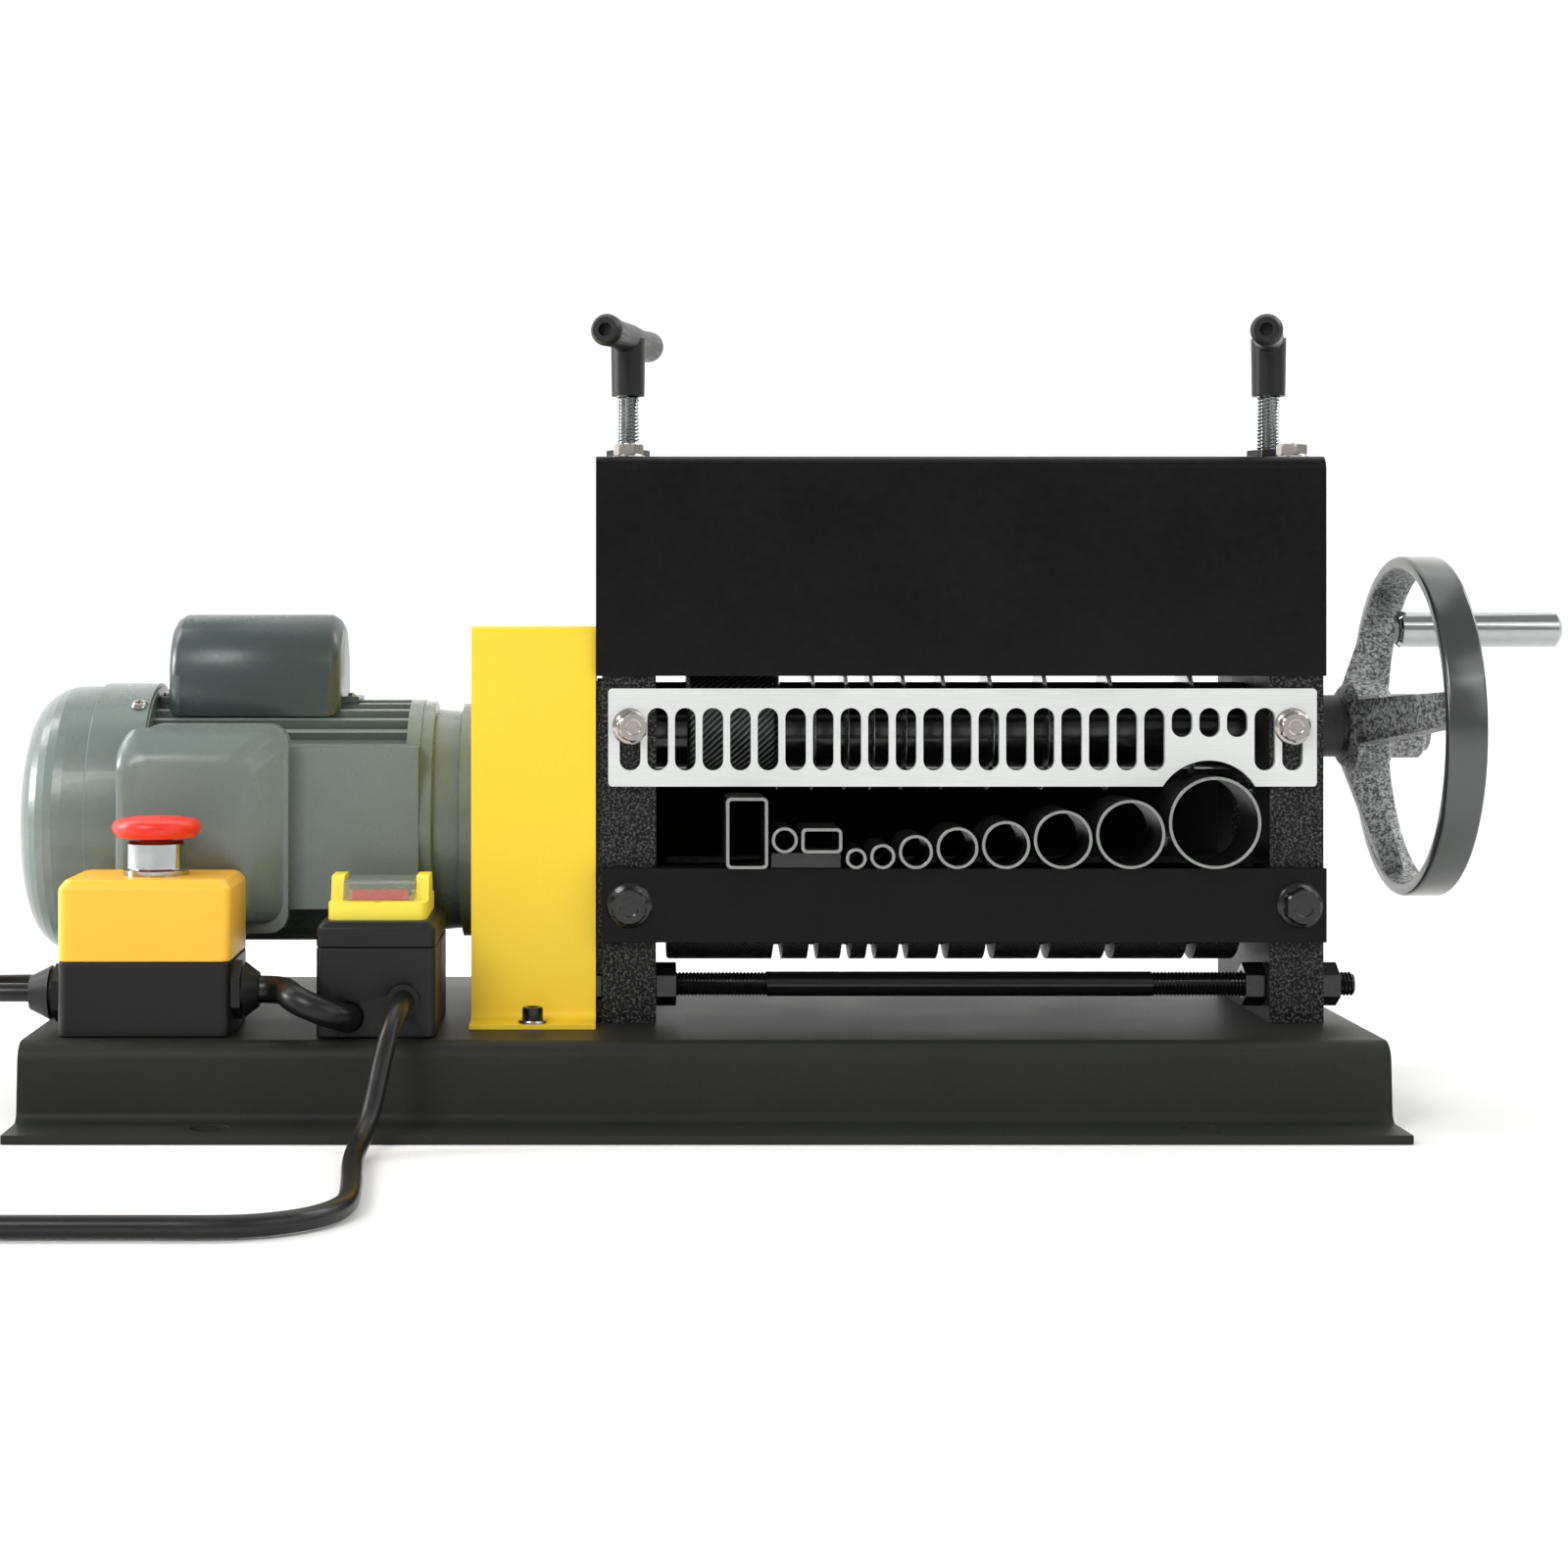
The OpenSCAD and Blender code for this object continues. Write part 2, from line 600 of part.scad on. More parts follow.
module front_bar() {
  color("#2b2b2b") difference() {
    translate([x_left_out, front_y - bar_t, bar_low]) cube([x_right_out - x_left_out, bar_t, bar_h]);
    for (x = cheek_mids)
      rod_y(front_y - bar_t - 1, front_y + 1, x, bar_top - bar_h / 2, bar_bolt_d + 2 * fit_gap);
  }
}
module bar_bolts() {
  color("#303030") for (x = cheek_mids) translate([x, front_y - bar_t, bar_top - bar_h / 2])
    rotate([90, 0, 0]) flange_bolt(bar_bolt_d, 16, bar_t + 16);
}
module guide_rail() {
  color("#8d9190") {
    along_x(x_left_in + 1, head_gap - 2) polygon(bent_sheet([[front_y, bar_low + 6], [front_y, guide_z],
      [guide_back, guide_z]], 3, 4));
    translate([guide_x(1) - guide_w[1] / 2, guide_back - guide_len + 6, guide_z])
      cube([guide_x(2) + guide_w[2] / 2 - guide_x(1) + guide_w[1] / 2, guide_len - 6, guide_pack]);
  }
}
module round_guide(i, lift) {
  r = guide_w[i] / 2;
  translate([guide_x(i), guide_back, guide_z + lift + r]) rotate([90, 0, 0]) difference() {
    cylinder(r = r, h = guide_len);
    translate([0, 0, -1]) cylinder(r = r - guide_wall, h = guide_len + 2);
  }
}
module round_guides() {
  color("#b9bdbb") {
    round_guide(1, guide_pack);
    for (i = [3:guide_last]) round_guide(i, 0);
  }
}
module flat_guide(i, low, h) {
  x0 = guide_x(i) - guide_w[i] / 2;
  x1 = guide_x(i) + guide_w[i] / 2;
  along_y(guide_back - guide_len, guide_back) difference() {
    polygon(round_rect(x0, low, x1, low + h, 2.5));
    polygon(round_rect(x0 + guide_wall, low + guide_wall, x1 - guide_wall, low + h - guide_wall, 1.2));
  }
}
module flat_guides() {
  color("#b9bdbb") {
    flat_guide(0, guide_z, tall_guide_h);
    flat_guide(2, guide_z + guide_pack, flat_guide_h);
  }
}
module tie_rod() {
  color("#9a9d9b") rod_x(x_left_out - 13, x_right_out + 18, tie_y, tie_z, tie_d);
}
module tie_rod_nuts() {
  color("#6f7371") for (x = [x_left_out - 10, x_left_in, x_right_in - 10, x_right_out])
    translate([x, tie_y, tie_z]) rotate([0, 90, 0]) hexagon(1.55 * tie_d, 10, tie_d + 2 * fit_gap);
}
module rear_hood() {
  top = deck + cover_low - 13;
  color("#262626") difference() {
    along_x(x_left_out, x_right_out - x_left_out) polygon(bent_sheet([[back_y + cover_t, top],
      [back_y + cover_t, top - 28], [back_y + 55, roller_z + 6]], cover_t, cover_t + 3));
    for (x = cheek_mids) rod_y(back_y - 1, back_y + cover_t + 1, x, hood_bolt_z, flange_bolt_d + 0.6);
  }
}
module roller_bushes() {
  color("#b08d4f") for (x = [x_left_out, x_right_in]) difference() {
    rod_x(x, x + cheek_t, head_y, roller_z, 2 * bush_r);
    rod_x(x - 1, x + cheek_t + 1, head_y, roller_z, feed_shaft_d + 2 * run_gap);
  }
}
module drive_guard() {
  top = deck + drive_h;
  color("#ffdb3b") difference() {
    union() {
      along_x(drive_x0, drive_w) polygon(bent_sheet([[drive_front - 22, deck + drive_t],
        [drive_front, deck + drive_t], [drive_front, top], [drive_back, top],
        [drive_back, deck + drive_t], [drive_back + 25, deck + drive_t]], drive_t, 6));
      along_x(drive_x0, drive_t) polygon(round_rect(drive_front + 1, deck, drive_back - 1, top - 1, 5));
    }
    rod_x(drive_x0 - 1, drive_x0 + drive_t + 1, motor_y, motor_z, 2 * spigot_r + 2 * fit_gap);
    for (y = drive_screw_y) translate([drive_x0 + drive_w / 2, y, deck - 1]) cylinder(d = 6.6, h = drive_t + 2);
  }
}
spigot_r = 30;
drive_screw_y = [drive_front - 14, drive_back + 16];
// screw with a round head along Z
module cap_screw(d, h, socket) {
  difference() {
    cylinder(d = d, h = h);
    if (socket > 0) translate([0, 0, h - 0.55 * h]) cylinder(d = socket / cos(30), h = h, $fn = 6);
  }
}
cowl_screw_x = cowl_x1 - 5;
module panel_screws() {
  color("#262626") {
    for (y = drive_screw_y) translate([drive_x0 + drive_w / 2, y, deck + drive_t]) {
      cylinder(d = 14, h = 1.6);
      translate([0, 0, 1.6]) cap_screw(10, 6, 5);
    }
    for (a = [122, 242, 362]) translate([cowl_screw_x, motor_y, motor_z]) rotate([a - 90, 0, 0])
      translate([0, 0, cowl_r]) cap_screw(8, 2.2, 0);
    for (x = cap_screw_x) translate([x, motor_y - 8, motor_z + stator_r + tab_t]) cap_screw(5.6, 2.6, 0);
  }
}
// finned body with a flat pad on the front
module stator_outline() {
  difference() {
    union() {
      circle(r = stator_r - 5);
      for (i = [0:fin_count - 1]) rotate(360 * (i + 0.5) / fin_count)
        translate([stator_r - 8, -1.1]) square([8, 2.2]);
      translate([-stator_r, -40]) square([20, 80]);
    }
    circle(d = motor_shaft_d + 2 * run_gap);
  }
}
module motor_stator() {
  color("#5f6b69") translate([0, motor_y, motor_z]) {
    along_x(stator_x0, stator_len) stator_outline();
    along_x(stator_x0 - 7, 8) difference() {
      circle(r = cowl_r - cowl_t - fit_gap);
      circle(d = motor_shaft_d + 2 * run_gap);
    }
    along_x(stator_x1 - 7, 7) difference() {
      circle(r = stator_r);
      circle(d = motor_shaft_d + 2 * run_gap);
    }
  }
}
module motor_fan_cover() {
  big = 24;
  r = cowl_r;
  color("#66716f") difference() {
    turned_x(motor_y, motor_z) polygon(concat(
      [[r, cowl_x1], [r, cowl_x0 + big + 12], [r - 1.6, cowl_x0 + big + 11], [r - 1.6, cowl_x0 + big]],
      [for (i = [1:8]) let(a = 90 * i / 8)
        [r - 1.6 - big + big * cos(a), cowl_x0 + big - big * sin(a)]],
      [[0, cowl_x0], [0, cowl_x0 + cowl_t]],
      [for (i = [8:-1:0]) let(a = 90 * i / 8, b = big - cowl_t)
        [r - 1.6 - big + b * cos(a), cowl_x0 + big - b * sin(a)]],
      [[r - 1.6 - cowl_t, cowl_x0 + big + 12], [r - cowl_t, cowl_x0 + big + 13], [r - cowl_t, cowl_x1]]));
    for (k = [0:11]) translate([cowl_x0, motor_y, motor_z]) rotate([30 * k, 0, 0])
      translate([-1, 12, -2.5]) cube([cowl_t + 2, 28, 5]);
  }
}
module motor_gear_head() {
  color("#5a6664") turned_x(motor_y, motor_z) polygon([[motor_shaft_d / 2 + run_gap, stator_x1],
    [stator_r - 1, stator_x1], [stator_r - 1, stator_x1 + 6], [stator_r - 5, stator_x1 + 7],
    [stator_r - 6, drive_x0 - 9], [stator_r - 2, drive_x0 - 8], [stator_r - 2, drive_x0],
    [spigot_r, drive_x0], [spigot_r, drive_x0 + drive_t + 2],
    [motor_shaft_d / 2 + run_gap, drive_x0 + drive_t + 2]]);
}
cap_half = 31;
cap_low = motor_z + 44;
tab_t = 2;
cap_screw_x = [cap_x0 - 3.4, cap_x1 + 4.5];
cap_high = motor_z + 106;
// slice of the capacitor cover, drawn in by a margin
module cap_slice(x, len, m) {
  along_x(x, len) translate([motor_y, 0]) union() {
    translate([0, cap_high - cap_half]) circle(r = cap_half - m, $fn = 32);
    translate([m - cap_half, cap_low]) square([2 * cap_half - 2 * m, cap_high - cap_half - cap_low]);
  }
}
module capacitor_cover() {
  color("#56625f") difference() {
    translate([cap_x0 - 6.6, motor_y - 16, motor_z + stator_r - 5])
      cube([cap_x1 - cap_x0 + 15.2, 32, 5 + tab_t]);
    rod_x(cap_x0 - 9, cap_x1 + 10, motor_y, motor_z, 2 * stator_r + 2 * fit_gap);
  }
  color("#56625f") difference() {
    hull() {
      cap_slice(cap_x0, cap_x1 - cap_x0, 6);
      cap_slice(cap_x0 + 2, cap_x1 - cap_x0 - 4, 2.5);
      cap_slice(cap_x0 + 6, cap_x1 - cap_x0 - 12, 0);
    }
    rod_x(cap_x0 - 9, cap_x1 + 10, motor_y, motor_z, 2 * stator_r + 2 * fit_gap);
  }
}
// slice of the terminal box at a depth, drawn in on its right and top
module term_slice(y, out, right, top, r) {
  along_y(y - 0.4, y) polygon(round_rect(term_x0 - out, term_low + 5, term_x1 - right, term_high - top, r));
}
module terminal_box() {
  face = motor_y - cowl_r - 0.9;
  color("#525d5b") {
    along_y(face - 1, pad_y) polygon(round_rect(term_x0, term_low, term_x1, term_high, 10));
    hull() {
      term_slice(face, 10, 2, 2, 10);
      term_slice(face - 4, 12, 7, 6, 12);
      term_slice(face - 10, 11, 15, 13, 13);
      term_slice(face - 12.4, 7, 20, 18, 12);
    }
  }
}
module motor_feet() {
  color("#4e5957") for (x = feet_x) difference() {
    along_x(x - foot_w / 2, foot_w) polygon([[motor_y - foot_half, deck], [motor_y + foot_half, deck],
      [motor_y + foot_half - 6, motor_z - 38], [motor_y - foot_half + 6, motor_z - 38]]);
    rod_x(x - foot_w, x + foot_w, motor_y, motor_z, 2 * stator_r + 2 * fit_gap);
    for (s = [-1, 1]) translate([x, motor_y + 28 * s, deck - 1]) cylinder(d = deck_bolt_d + 2 * fit_gap, h = 18);
  }
}
module stop_box_base() {
  color("#262626") translate([0, 0, deck]) linear_extrude(stop_split - deck)
    polygon(round_rect(stop_x0, stop_y0, stop_x1, stop_y0 + stop_d, 5));
}
module stop_box_lid() {
  color("#ffc83e") difference() {
    hull() {
      translate([0, 0, stop_split]) linear_extrude(stop_top - stop_split - 4)
        polygon(round_rect(stop_x0, stop_y0, stop_x1, stop_y0 + stop_d, 5));
      translate([0, 0, stop_split]) linear_extrude(stop_top - stop_split)
        polygon(round_rect(stop_x0 + 3, stop_y0 + 3, stop_x1 - 3, stop_y0 + stop_d - 3, 5));
    }
    translate([stop_mid[0], stop_mid[1], stop_top - 14]) cylinder(d = plunger_d + 2 * run_gap, h = 20);
  }
}
module stop_collar() {
  r = collar_out_d / 2;
  color("#c8cac9") translate([stop_mid[0], stop_mid[1], stop_top]) rotate_extrude()
    polygon([[plunger_d / 2 + run_gap, 0], [r + 1.5, 0], [r + 1.5, 2.5], [r, 3.5], [r, collar_len - 3],
      [r - 1.5, collar_len - 1.5], [plunger_d / 2 + run_gap, collar_len - 1.5]]);
}
module cable_glands() {
  color("#1f1f1f") {
    translate([stop_x0, motor_gland_y, gland_z]) rotate([0, -90, 0])
      gland(gland_d, 18, motor_lead_d + 2 * fit_gap);
    translate([stop_x1, link_gland_y, link_z]) rotate([0, 90, 0]) gland(gland_d, 12, link_d + 2 * fit_gap);
    translate([feet_x[0] - foot_w / 2, lead_back_y, lead_low_z]) rotate([0, -90, 0])
      gland(16, 12, motor_lead_d + 2 * fit_gap);
    translate([mains_x, switch_y0, mains_z]) rotate([90, 0, 0]) difference() {
      cylinder(d = mains_d + 6, h = 2.5);
      translate([0, 0, -1]) cylinder(d = mains_d + 2 * fit_gap, h = 5);
    }
  }
}
link_in = link_points[len(link_points) - 1];
module switch_box() {
  color("#242424") difference() {
    translate([0, 0, deck]) linear_extrude(switch_split - deck)
      polygon(round_rect(switch_x0, switch_y0, switch_x1, switch_y0 + switch_d, 4));
    rod_y(switch_y0 - 1, switch_y0 + 9, mains_x, mains_z, mains_d + 2 * fit_gap);
    rod_y(switch_y0 - 1, switch_y0 + 7, link_in[0], link_in[2], link_d + 2 * fit_gap);
  }
}
module switch_lid() {
  color("#2a2a2a") difference() {
    hull() {
      translate([0, 0, switch_split]) linear_extrude(switch_top - switch_split - 3)
        polygon(round_rect(switch_x0, switch_y0, switch_x1, switch_y0 + switch_d, 4));
      translate([0, 0, switch_split]) linear_extrude(switch_top - switch_split)
        polygon(round_rect(switch_x0 + 2.5, switch_y0 + 2.5, switch_x1 - 2.5, switch_y0 + switch_d - 2.5, 4));
    }
    for (s = [-1, 1]) translate([switch_mid[0], switch_mid[1] + 11 * s, switch_top])
      cube([button_w + 0.6, button_d + 0.6, 16], center = true);
  }
}
module switch_bezel() {
  color("#f2c22e") translate([switch_mid[0], switch_mid[1], switch_top]) difference() {
    union() {
      linear_extrude(8) polygon(round_rect(-bezel_w / 2, -bezel_d / 2, bezel_w / 2, bezel_d / 2, 5));
      for (s = [-1, 1]) along_x(s * (bezel_w / 2 - 3) - 3, 6)
        polygon(rounded([[-17, 4], [17, 4], [11, 19], [-11, 19]], 3));
    }
    for (s = [-1, 1]) translate([0, 11 * s, 5]) cube([button_w + 0.6, button_d + 0.6, 14], center = true);
    for (s = [-1, 1]) translate([0, 26 * s, 6]) cylinder(d = 5, h = 4);
  }
}
module switch_window() {
  color([0.85, 0.9, 0.9, 0.4]) translate([switch_mid[0], switch_mid[1], switch_top]) {
    w = bezel_w - 12.6;
    translate([-w / 2, 0, 0]) along_x(0, w) polygon(bent_sheet([[-22, 8.7], [-17, 17], [17, 17], [22, 8.7]], 1, 3));
  }
}
module push_button(s) {
  translate([switch_mid[0], switch_mid[1] + 11 * s, switch_top - 4])
    linear_extrude(16) polygon(round_rect(-button_w / 2, -button_d / 2, button_w / 2, button_d / 2, 2));
}
module stop_button() {
  color("#d5231d") push_button(-1);
}
module start_button() {
  color("#2f8f3e") push_button(1);
}
module return_springs() {
  color("#8a8d8b") for (x = cheek_mids) translate([x, head_y, 0]) tube(spring_points, spring_wire, 6);
}
module link_sleeve() {
  color("#1e1e1e") tube(link_points, link_d, 12);
}
module motor_lead() {
  color("#1c1c1c") tube(motor_points, motor_lead_d, 10);
}
module mains_lead() {
  color("#1c1c1c") tube(mains_points, mains_d, 10);
}
module mains_coil() {
  color("#1c1c1c") tube(coil_points, mains_d, 6);
}
plug_len = 46;
module mains_plug() {
  h = plug_end[2];
  x = plug_end[0];
  color("#1c1c1c") difference() {
    union() {
      translate([x + 6, plug_end[1], h]) rotate([0, -90, 0]) cylinder(d1 = mains_d + 3, d2 = mains_d + 8, h = 16);
      translate([x - plug_len, plug_end[1], h]) rotate([0, 90, 0]) cylinder(r = h, h = 14);
      translate([x - plug_len + 14, plug_end[1], h]) rotate([0, 90, 0]) cylinder(r1 = h, r2 = 9, h = 24);
    }
    rod_x(x, x + 10, plug_end[1], h, mains_d + 2 * fit_gap);
  }
  color("#c8b26a") for (s = [-1, 1])
    translate([x - plug_len - 18, plug_end[1] + 6.35 * s - 0.75, h - 3.2]) cube([19, 1.5, 6.4]);
}
roller_x0 = x_left_in + 6;
roller_x1 = x_right_in - 6;
module feed_roller() {
  r = roller_d / 2;
  color("#7d807e") turned_x(head_y, roller_z) polygon(concat(
    [[feed_shaft_d / 2 + fit_gap, roller_x0], [r - 1, roller_x0], [r, roller_x0 + 1]],
    [for (i = [1:guide_last]) let(x = guide_x(i), w = groove_w / 2) each
      [[r, x - w], [r - groove_depth, x - w / 2], [r - groove_depth, x + w / 2], [r, x + w]]],
    [[r, roller_x1 - 1], [r - 1, roller_x1], [feed_shaft_d / 2 + fit_gap, roller_x1]]));
}
module feed_shaft() {
  color("#a3a6a4") rod_x(gear_x - 3, x_right_out + 6, head_y, roller_z, feed_shaft_d);
}
module spur_gear(z, bore, x, w, turn) {
  along_x(x, w) rotate(turn) difference() {
    polygon(gear_points(z));
    circle(d = bore + 2 * fit_gap);
  }
}
module drive_gear() {
  color("#6a6d6b") translate([0, head_y, roller_z])
    spur_gear(gear_teeth, feed_shaft_d, gear_x, gear_w, mesh_angle);
}
module motor_shaft() {
  color("#a3a6a4") rod_x(stator_x0 - 20, gear_x + gear_w + 6, motor_y, motor_z, motor_shaft_d);
}
module motor_pinion() {
  color("#6a6d6b") translate([0, motor_y, motor_z])
    spur_gear(pinion_teeth, motor_shaft_d, gear_x - 2, gear_w + 4, mesh_angle + 180 + 180 / pinion_teeth);
}
module bearing_block(x, out) {
  w = window_w - 2 * slide_gap;
  mid = x + cheek_t / 2;
  difference() {
    union() {
      translate([x, head_y - w / 2, block_low]) cube([cheek_t, w, block_h]);
      rod_x(out > 0 ? x + cheek_t - 1 : x - 4, out > 0 ? x + cheek_t + 6 : x + 1, head_y, blade_z, w - 8);
      if (out > 0) rod_x(x + cheek_t, wheel_x - 1.5, head_y, blade_z, blade_shaft_d + 6);
    }
    rod_x(x - 10, x + cheek_t + 30, head_y, blade_z, blade_shaft_d + 2 * run_gap);
    translate([mid, head_y, collar_z - 0.1]) {
      cylinder(d = collar_d + 0.6, h = collar_h + 0.2);
      cylinder(d = screw_d + 0.6, h = 20);
      translate([-collar_d / 2 - 0.3, -window_w, 0]) cube([collar_d + 0.6, window_w, collar_h + 0.2]);
      translate([-screw_d / 2 - 0.3, -window_w, 0]) cube([screw_d + 0.6, window_w, 20]);
    }
  }
}
module bearing_blocks() {
  color("#3c3f3e") {
    bearing_block(x_left_out, -1);
    bearing_block(x_right_in, 1);
  }
}
module blade_shaft() {
  color("#a3a6a4") rod_x(x_left_out - 4, wheel_x + hub_len + 3, head_y, blade_z, blade_shaft_d);
}
knurl_x0 = x_left_in + 16;
knurl_x1 = guide_x(1) - blade_t / 2;
module blades() {
  r = blade_d / 2;
  color("#d2d5d4") for (i = [1:guide_last]) let(x = guide_x(i)) turned_x(head_y, blade_z)
    polygon([[blade_shaft_d / 2 + fit_gap, x - blade_t / 2], [r - 4, x - blade_t / 2], [r, x - 0.1],
      [r, x + 0.1], [r - 4, x + blade_t / 2], [blade_shaft_d / 2 + fit_gap, x + blade_t / 2]]);
}
module spacer(x0, x1) {
  difference() {
    rod_x(x0, x1, head_y, blade_z, spacer_d);
    rod_x(x0 - 1, x1 + 1, head_y, blade_z, blade_shaft_d + 2 * fit_gap);
  }
}
module blade_spacers() {
  color("#454847") {
    spacer(x_left_in + 0.5, knurl_x0);
    for (i = [1:guide_last - 1]) spacer(guide_x(i) + blade_t / 2, guide_x(i + 1) - blade_t / 2);
    spacer(guide_x(guide_last) + blade_t / 2, x_right_in - 0.5);
  }
}
module knurl_roller() {
  color("#8f9291") turned_x(head_y, blade_z) polygon([[blade_shaft_d / 2 + fit_gap, knurl_x0],
    [knurl_d / 2 - 1.5, knurl_x0], [knurl_d / 2, knurl_x0 + 1.5], [knurl_d / 2, knurl_x1 - 1.5],
    [knurl_d / 2 - 1.5, knurl_x1], [blade_shaft_d / 2 + fit_gap, knurl_x1]]);
}
module handwheel() {
  r = wheel_d / 2;
  boss_x = wheel_x + 25;
  color("#8b8e8c") translate([0, head_y, blade_z]) difference() {
    union() {
      turned_x(0, 0) polygon(rounded([[r - rim_t, rim_x], [r, rim_x], [r, rim_x + rim_w],
        [r - rim_t, rim_x + rim_w]], 2));
      turned_x(0, 0) polygon([[0, wheel_x], [hub_d / 2 - 4, wheel_x], [hub_d / 2, wheel_x + 4],
        [hub_d / 2, wheel_x + 19], [hub_d / 2 - 3, wheel_x + 22], [hub_d / 2 - 7, wheel_x + 23],
        [hub_d / 2 - 7, wheel_x + hub_len - 1], [hub_d / 2 - 8, wheel_x + hub_len], [0, wheel_x + hub_len]]);
      for (k = [0:2]) rotate([spoke_angle + 120 * k, 0, 0]) hull() {
        translate([wheel_x + 3, hub_d / 2 - 6, -11]) cube([12, 4, 22]);
        translate([rim_x + 1.5, r - rim_t - 2, -8]) cube([8.5, 4, 16]);
      }
      rotate([spoke_angle, 0, 0]) rod_x(boss_x, grip_x - 3.5, crank_r, 0, 19);
    }
    rod_x(wheel_x - 1, wheel_x + hub_len + 1, 0, 0, blade_shaft_d + 2 * fit_gap);
    rotate([spoke_angle, 0, 0]) rod_x(boss_x - 12, grip_x + 5, crank_r, 0, crank_pin_d + 2 * fit_gap);
  }
}
crank_at = [head_y + crank_r * cos(spoke_angle), blade_z + crank_r * sin(spoke_angle)];
module crank_pin() {
  color("#b4b7b6") {
    rod_x(wheel_x + 28, grip_x + grip_len - 5, crank_at[0], crank_at[1], crank_pin_d);
    rod_x(grip_x - 3.5, grip_x - 0.5, crank_at[0], crank_at[1], crank_pin_d + 5);
    rod_x(grip_x + grip_len - 5, grip_x + grip_len - 1, crank_at[0], crank_at[1], crank_pin_d + 3);
  }
}
module crank_grip() {
  r = grip_d / 2;
  color("#d9dbda") turned_x(crank_at[0], crank_at[1]) polygon([[crank_pin_d / 2 + run_gap, grip_x],
    [r - 1.5, grip_x], [r, grip_x + 1.5], [r, grip_x + grip_len - 2], [r - 2, grip_x + grip_len],
    [crank_pin_d / 2 + 1.8, grip_x + grip_len], [crank_pin_d / 2 + 1.8, grip_x + grip_len - 5.3],
    [crank_pin_d / 2 + run_gap, grip_x + grip_len - 5.3]]);
}
module t_screw(x) {
  color("#9fa2a0") translate([x, head_y, 0]) {
    translate([0, 0, collar_z]) cylinder(d = collar_d, h = collar_h);
    translate([0, 0, collar_z]) cylinder(d = screw_d, h = tee_low + 20 - collar_z);
  }
}
module t_handle(x) {
  e = tee_d / 2;
  color("#232323") translate([x, head_y, 0]) rotate([0, 0, tee_turn]) difference() {
    union() {
      translate([0, 0, tee_low]) cylinder(d1 = stem_d - 1, d2 = stem_d, h = tee_z - tee_low);
      for (a = [90, 270]) translate([0, 0, tee_z]) rotate([0, 0, a]) rotate([0, 90, 0]) rotate_extrude()
        polygon([[0, 0], [e, 0], [e - 0.6, tee_len / 4], [e + 0.4, tee_len / 2 - 3],
          [e - 1.4, tee_len / 2], [3.2, tee_len / 2], [3.2, tee_len / 2 - 5], [0, tee_len / 2 - 5]]);
    }
    translate([0, 0, tee_low - 1]) cylinder(d = screw_d + 2 * fit_gap, h = 21);
  }
}
module left_t_screw() {
  t_screw(x_left_mid);
}
module left_t_handle() {
  t_handle(x_left_mid);
}
module right_t_screw() {
  t_screw(x_right_mid);
}
module right_t_handle() {
  t_handle(x_right_mid);
}
stub_d = 8;
cap_in = cap_z + 4;
module stop_plunger() {
  color("#b71f19") translate([stop_mid[0], stop_mid[1], 0]) {
    translate([0, 0, stop_top - 8]) cylinder(d = plunger_d, h = cap_in - stop_top + 8);
    translate([0, 0, cap_in - 1]) cylinder(d = stub_d, h = 4);
  }
}
module stop_cap() {
  r = stop_cap_d / 2;
  color("#e3261f") translate([stop_mid[0], stop_mid[1], 0]) rotate_extrude() polygon(concat(
    [[stub_d / 2 + run_gap, cap_in], [collar_out_d / 2 + 1.5, cap_in], [collar_out_d / 2 + 1.5, cap_z],
     [r - 2.5, cap_z], [r - 0.6, cap_z + 2.5], [r, cap_z + 4.5]],
    [for (i = [1:6]) let(a = 15 * i) [r - 4 + 4 * cos(a), cap_z + 4.5 + 4 * sin(a)]],
    [[0.55 * r, cap_z + 9.4], [0, cap_z + 9.8], [0, cap_in + 3.2], [stub_d / 2 + run_gap, cap_in + 3.2]]));
}

base_channel();
left_cheek();
right_cheek();
deck_bolts();
top_cover();
bright_bolts();
lock_nuts();
front_guard();
front_bar();
bar_bolts();
guide_rail();
round_guides();
flat_guides();
tie_rod();
tie_rod_nuts();
rear_hood();
roller_bushes();
drive_guard();
panel_screws();
motor_stator();
motor_fan_cover();
motor_gear_head();
capacitor_cover();
terminal_box();
motor_feet();
stop_box_base();
stop_box_lid();
stop_collar();
cable_glands();
switch_box();
switch_lid();
switch_bezel();
switch_window();
return_springs();
link_sleeve();
motor_lead();
mains_lead();
mains_coil();
mains_plug();
feed_roller();
feed_shaft();
drive_gear();
motor_shaft();
motor_pinion();
bearing_blocks();
blade_shaft();
blades();
blade_spacers();
knurl_roller();
handwheel();
crank_pin();
crank_grip();
left_t_screw();
left_t_handle();
right_t_screw();
right_t_handle();
stop_plunger();
stop_cap();
start_button();
stop_button();
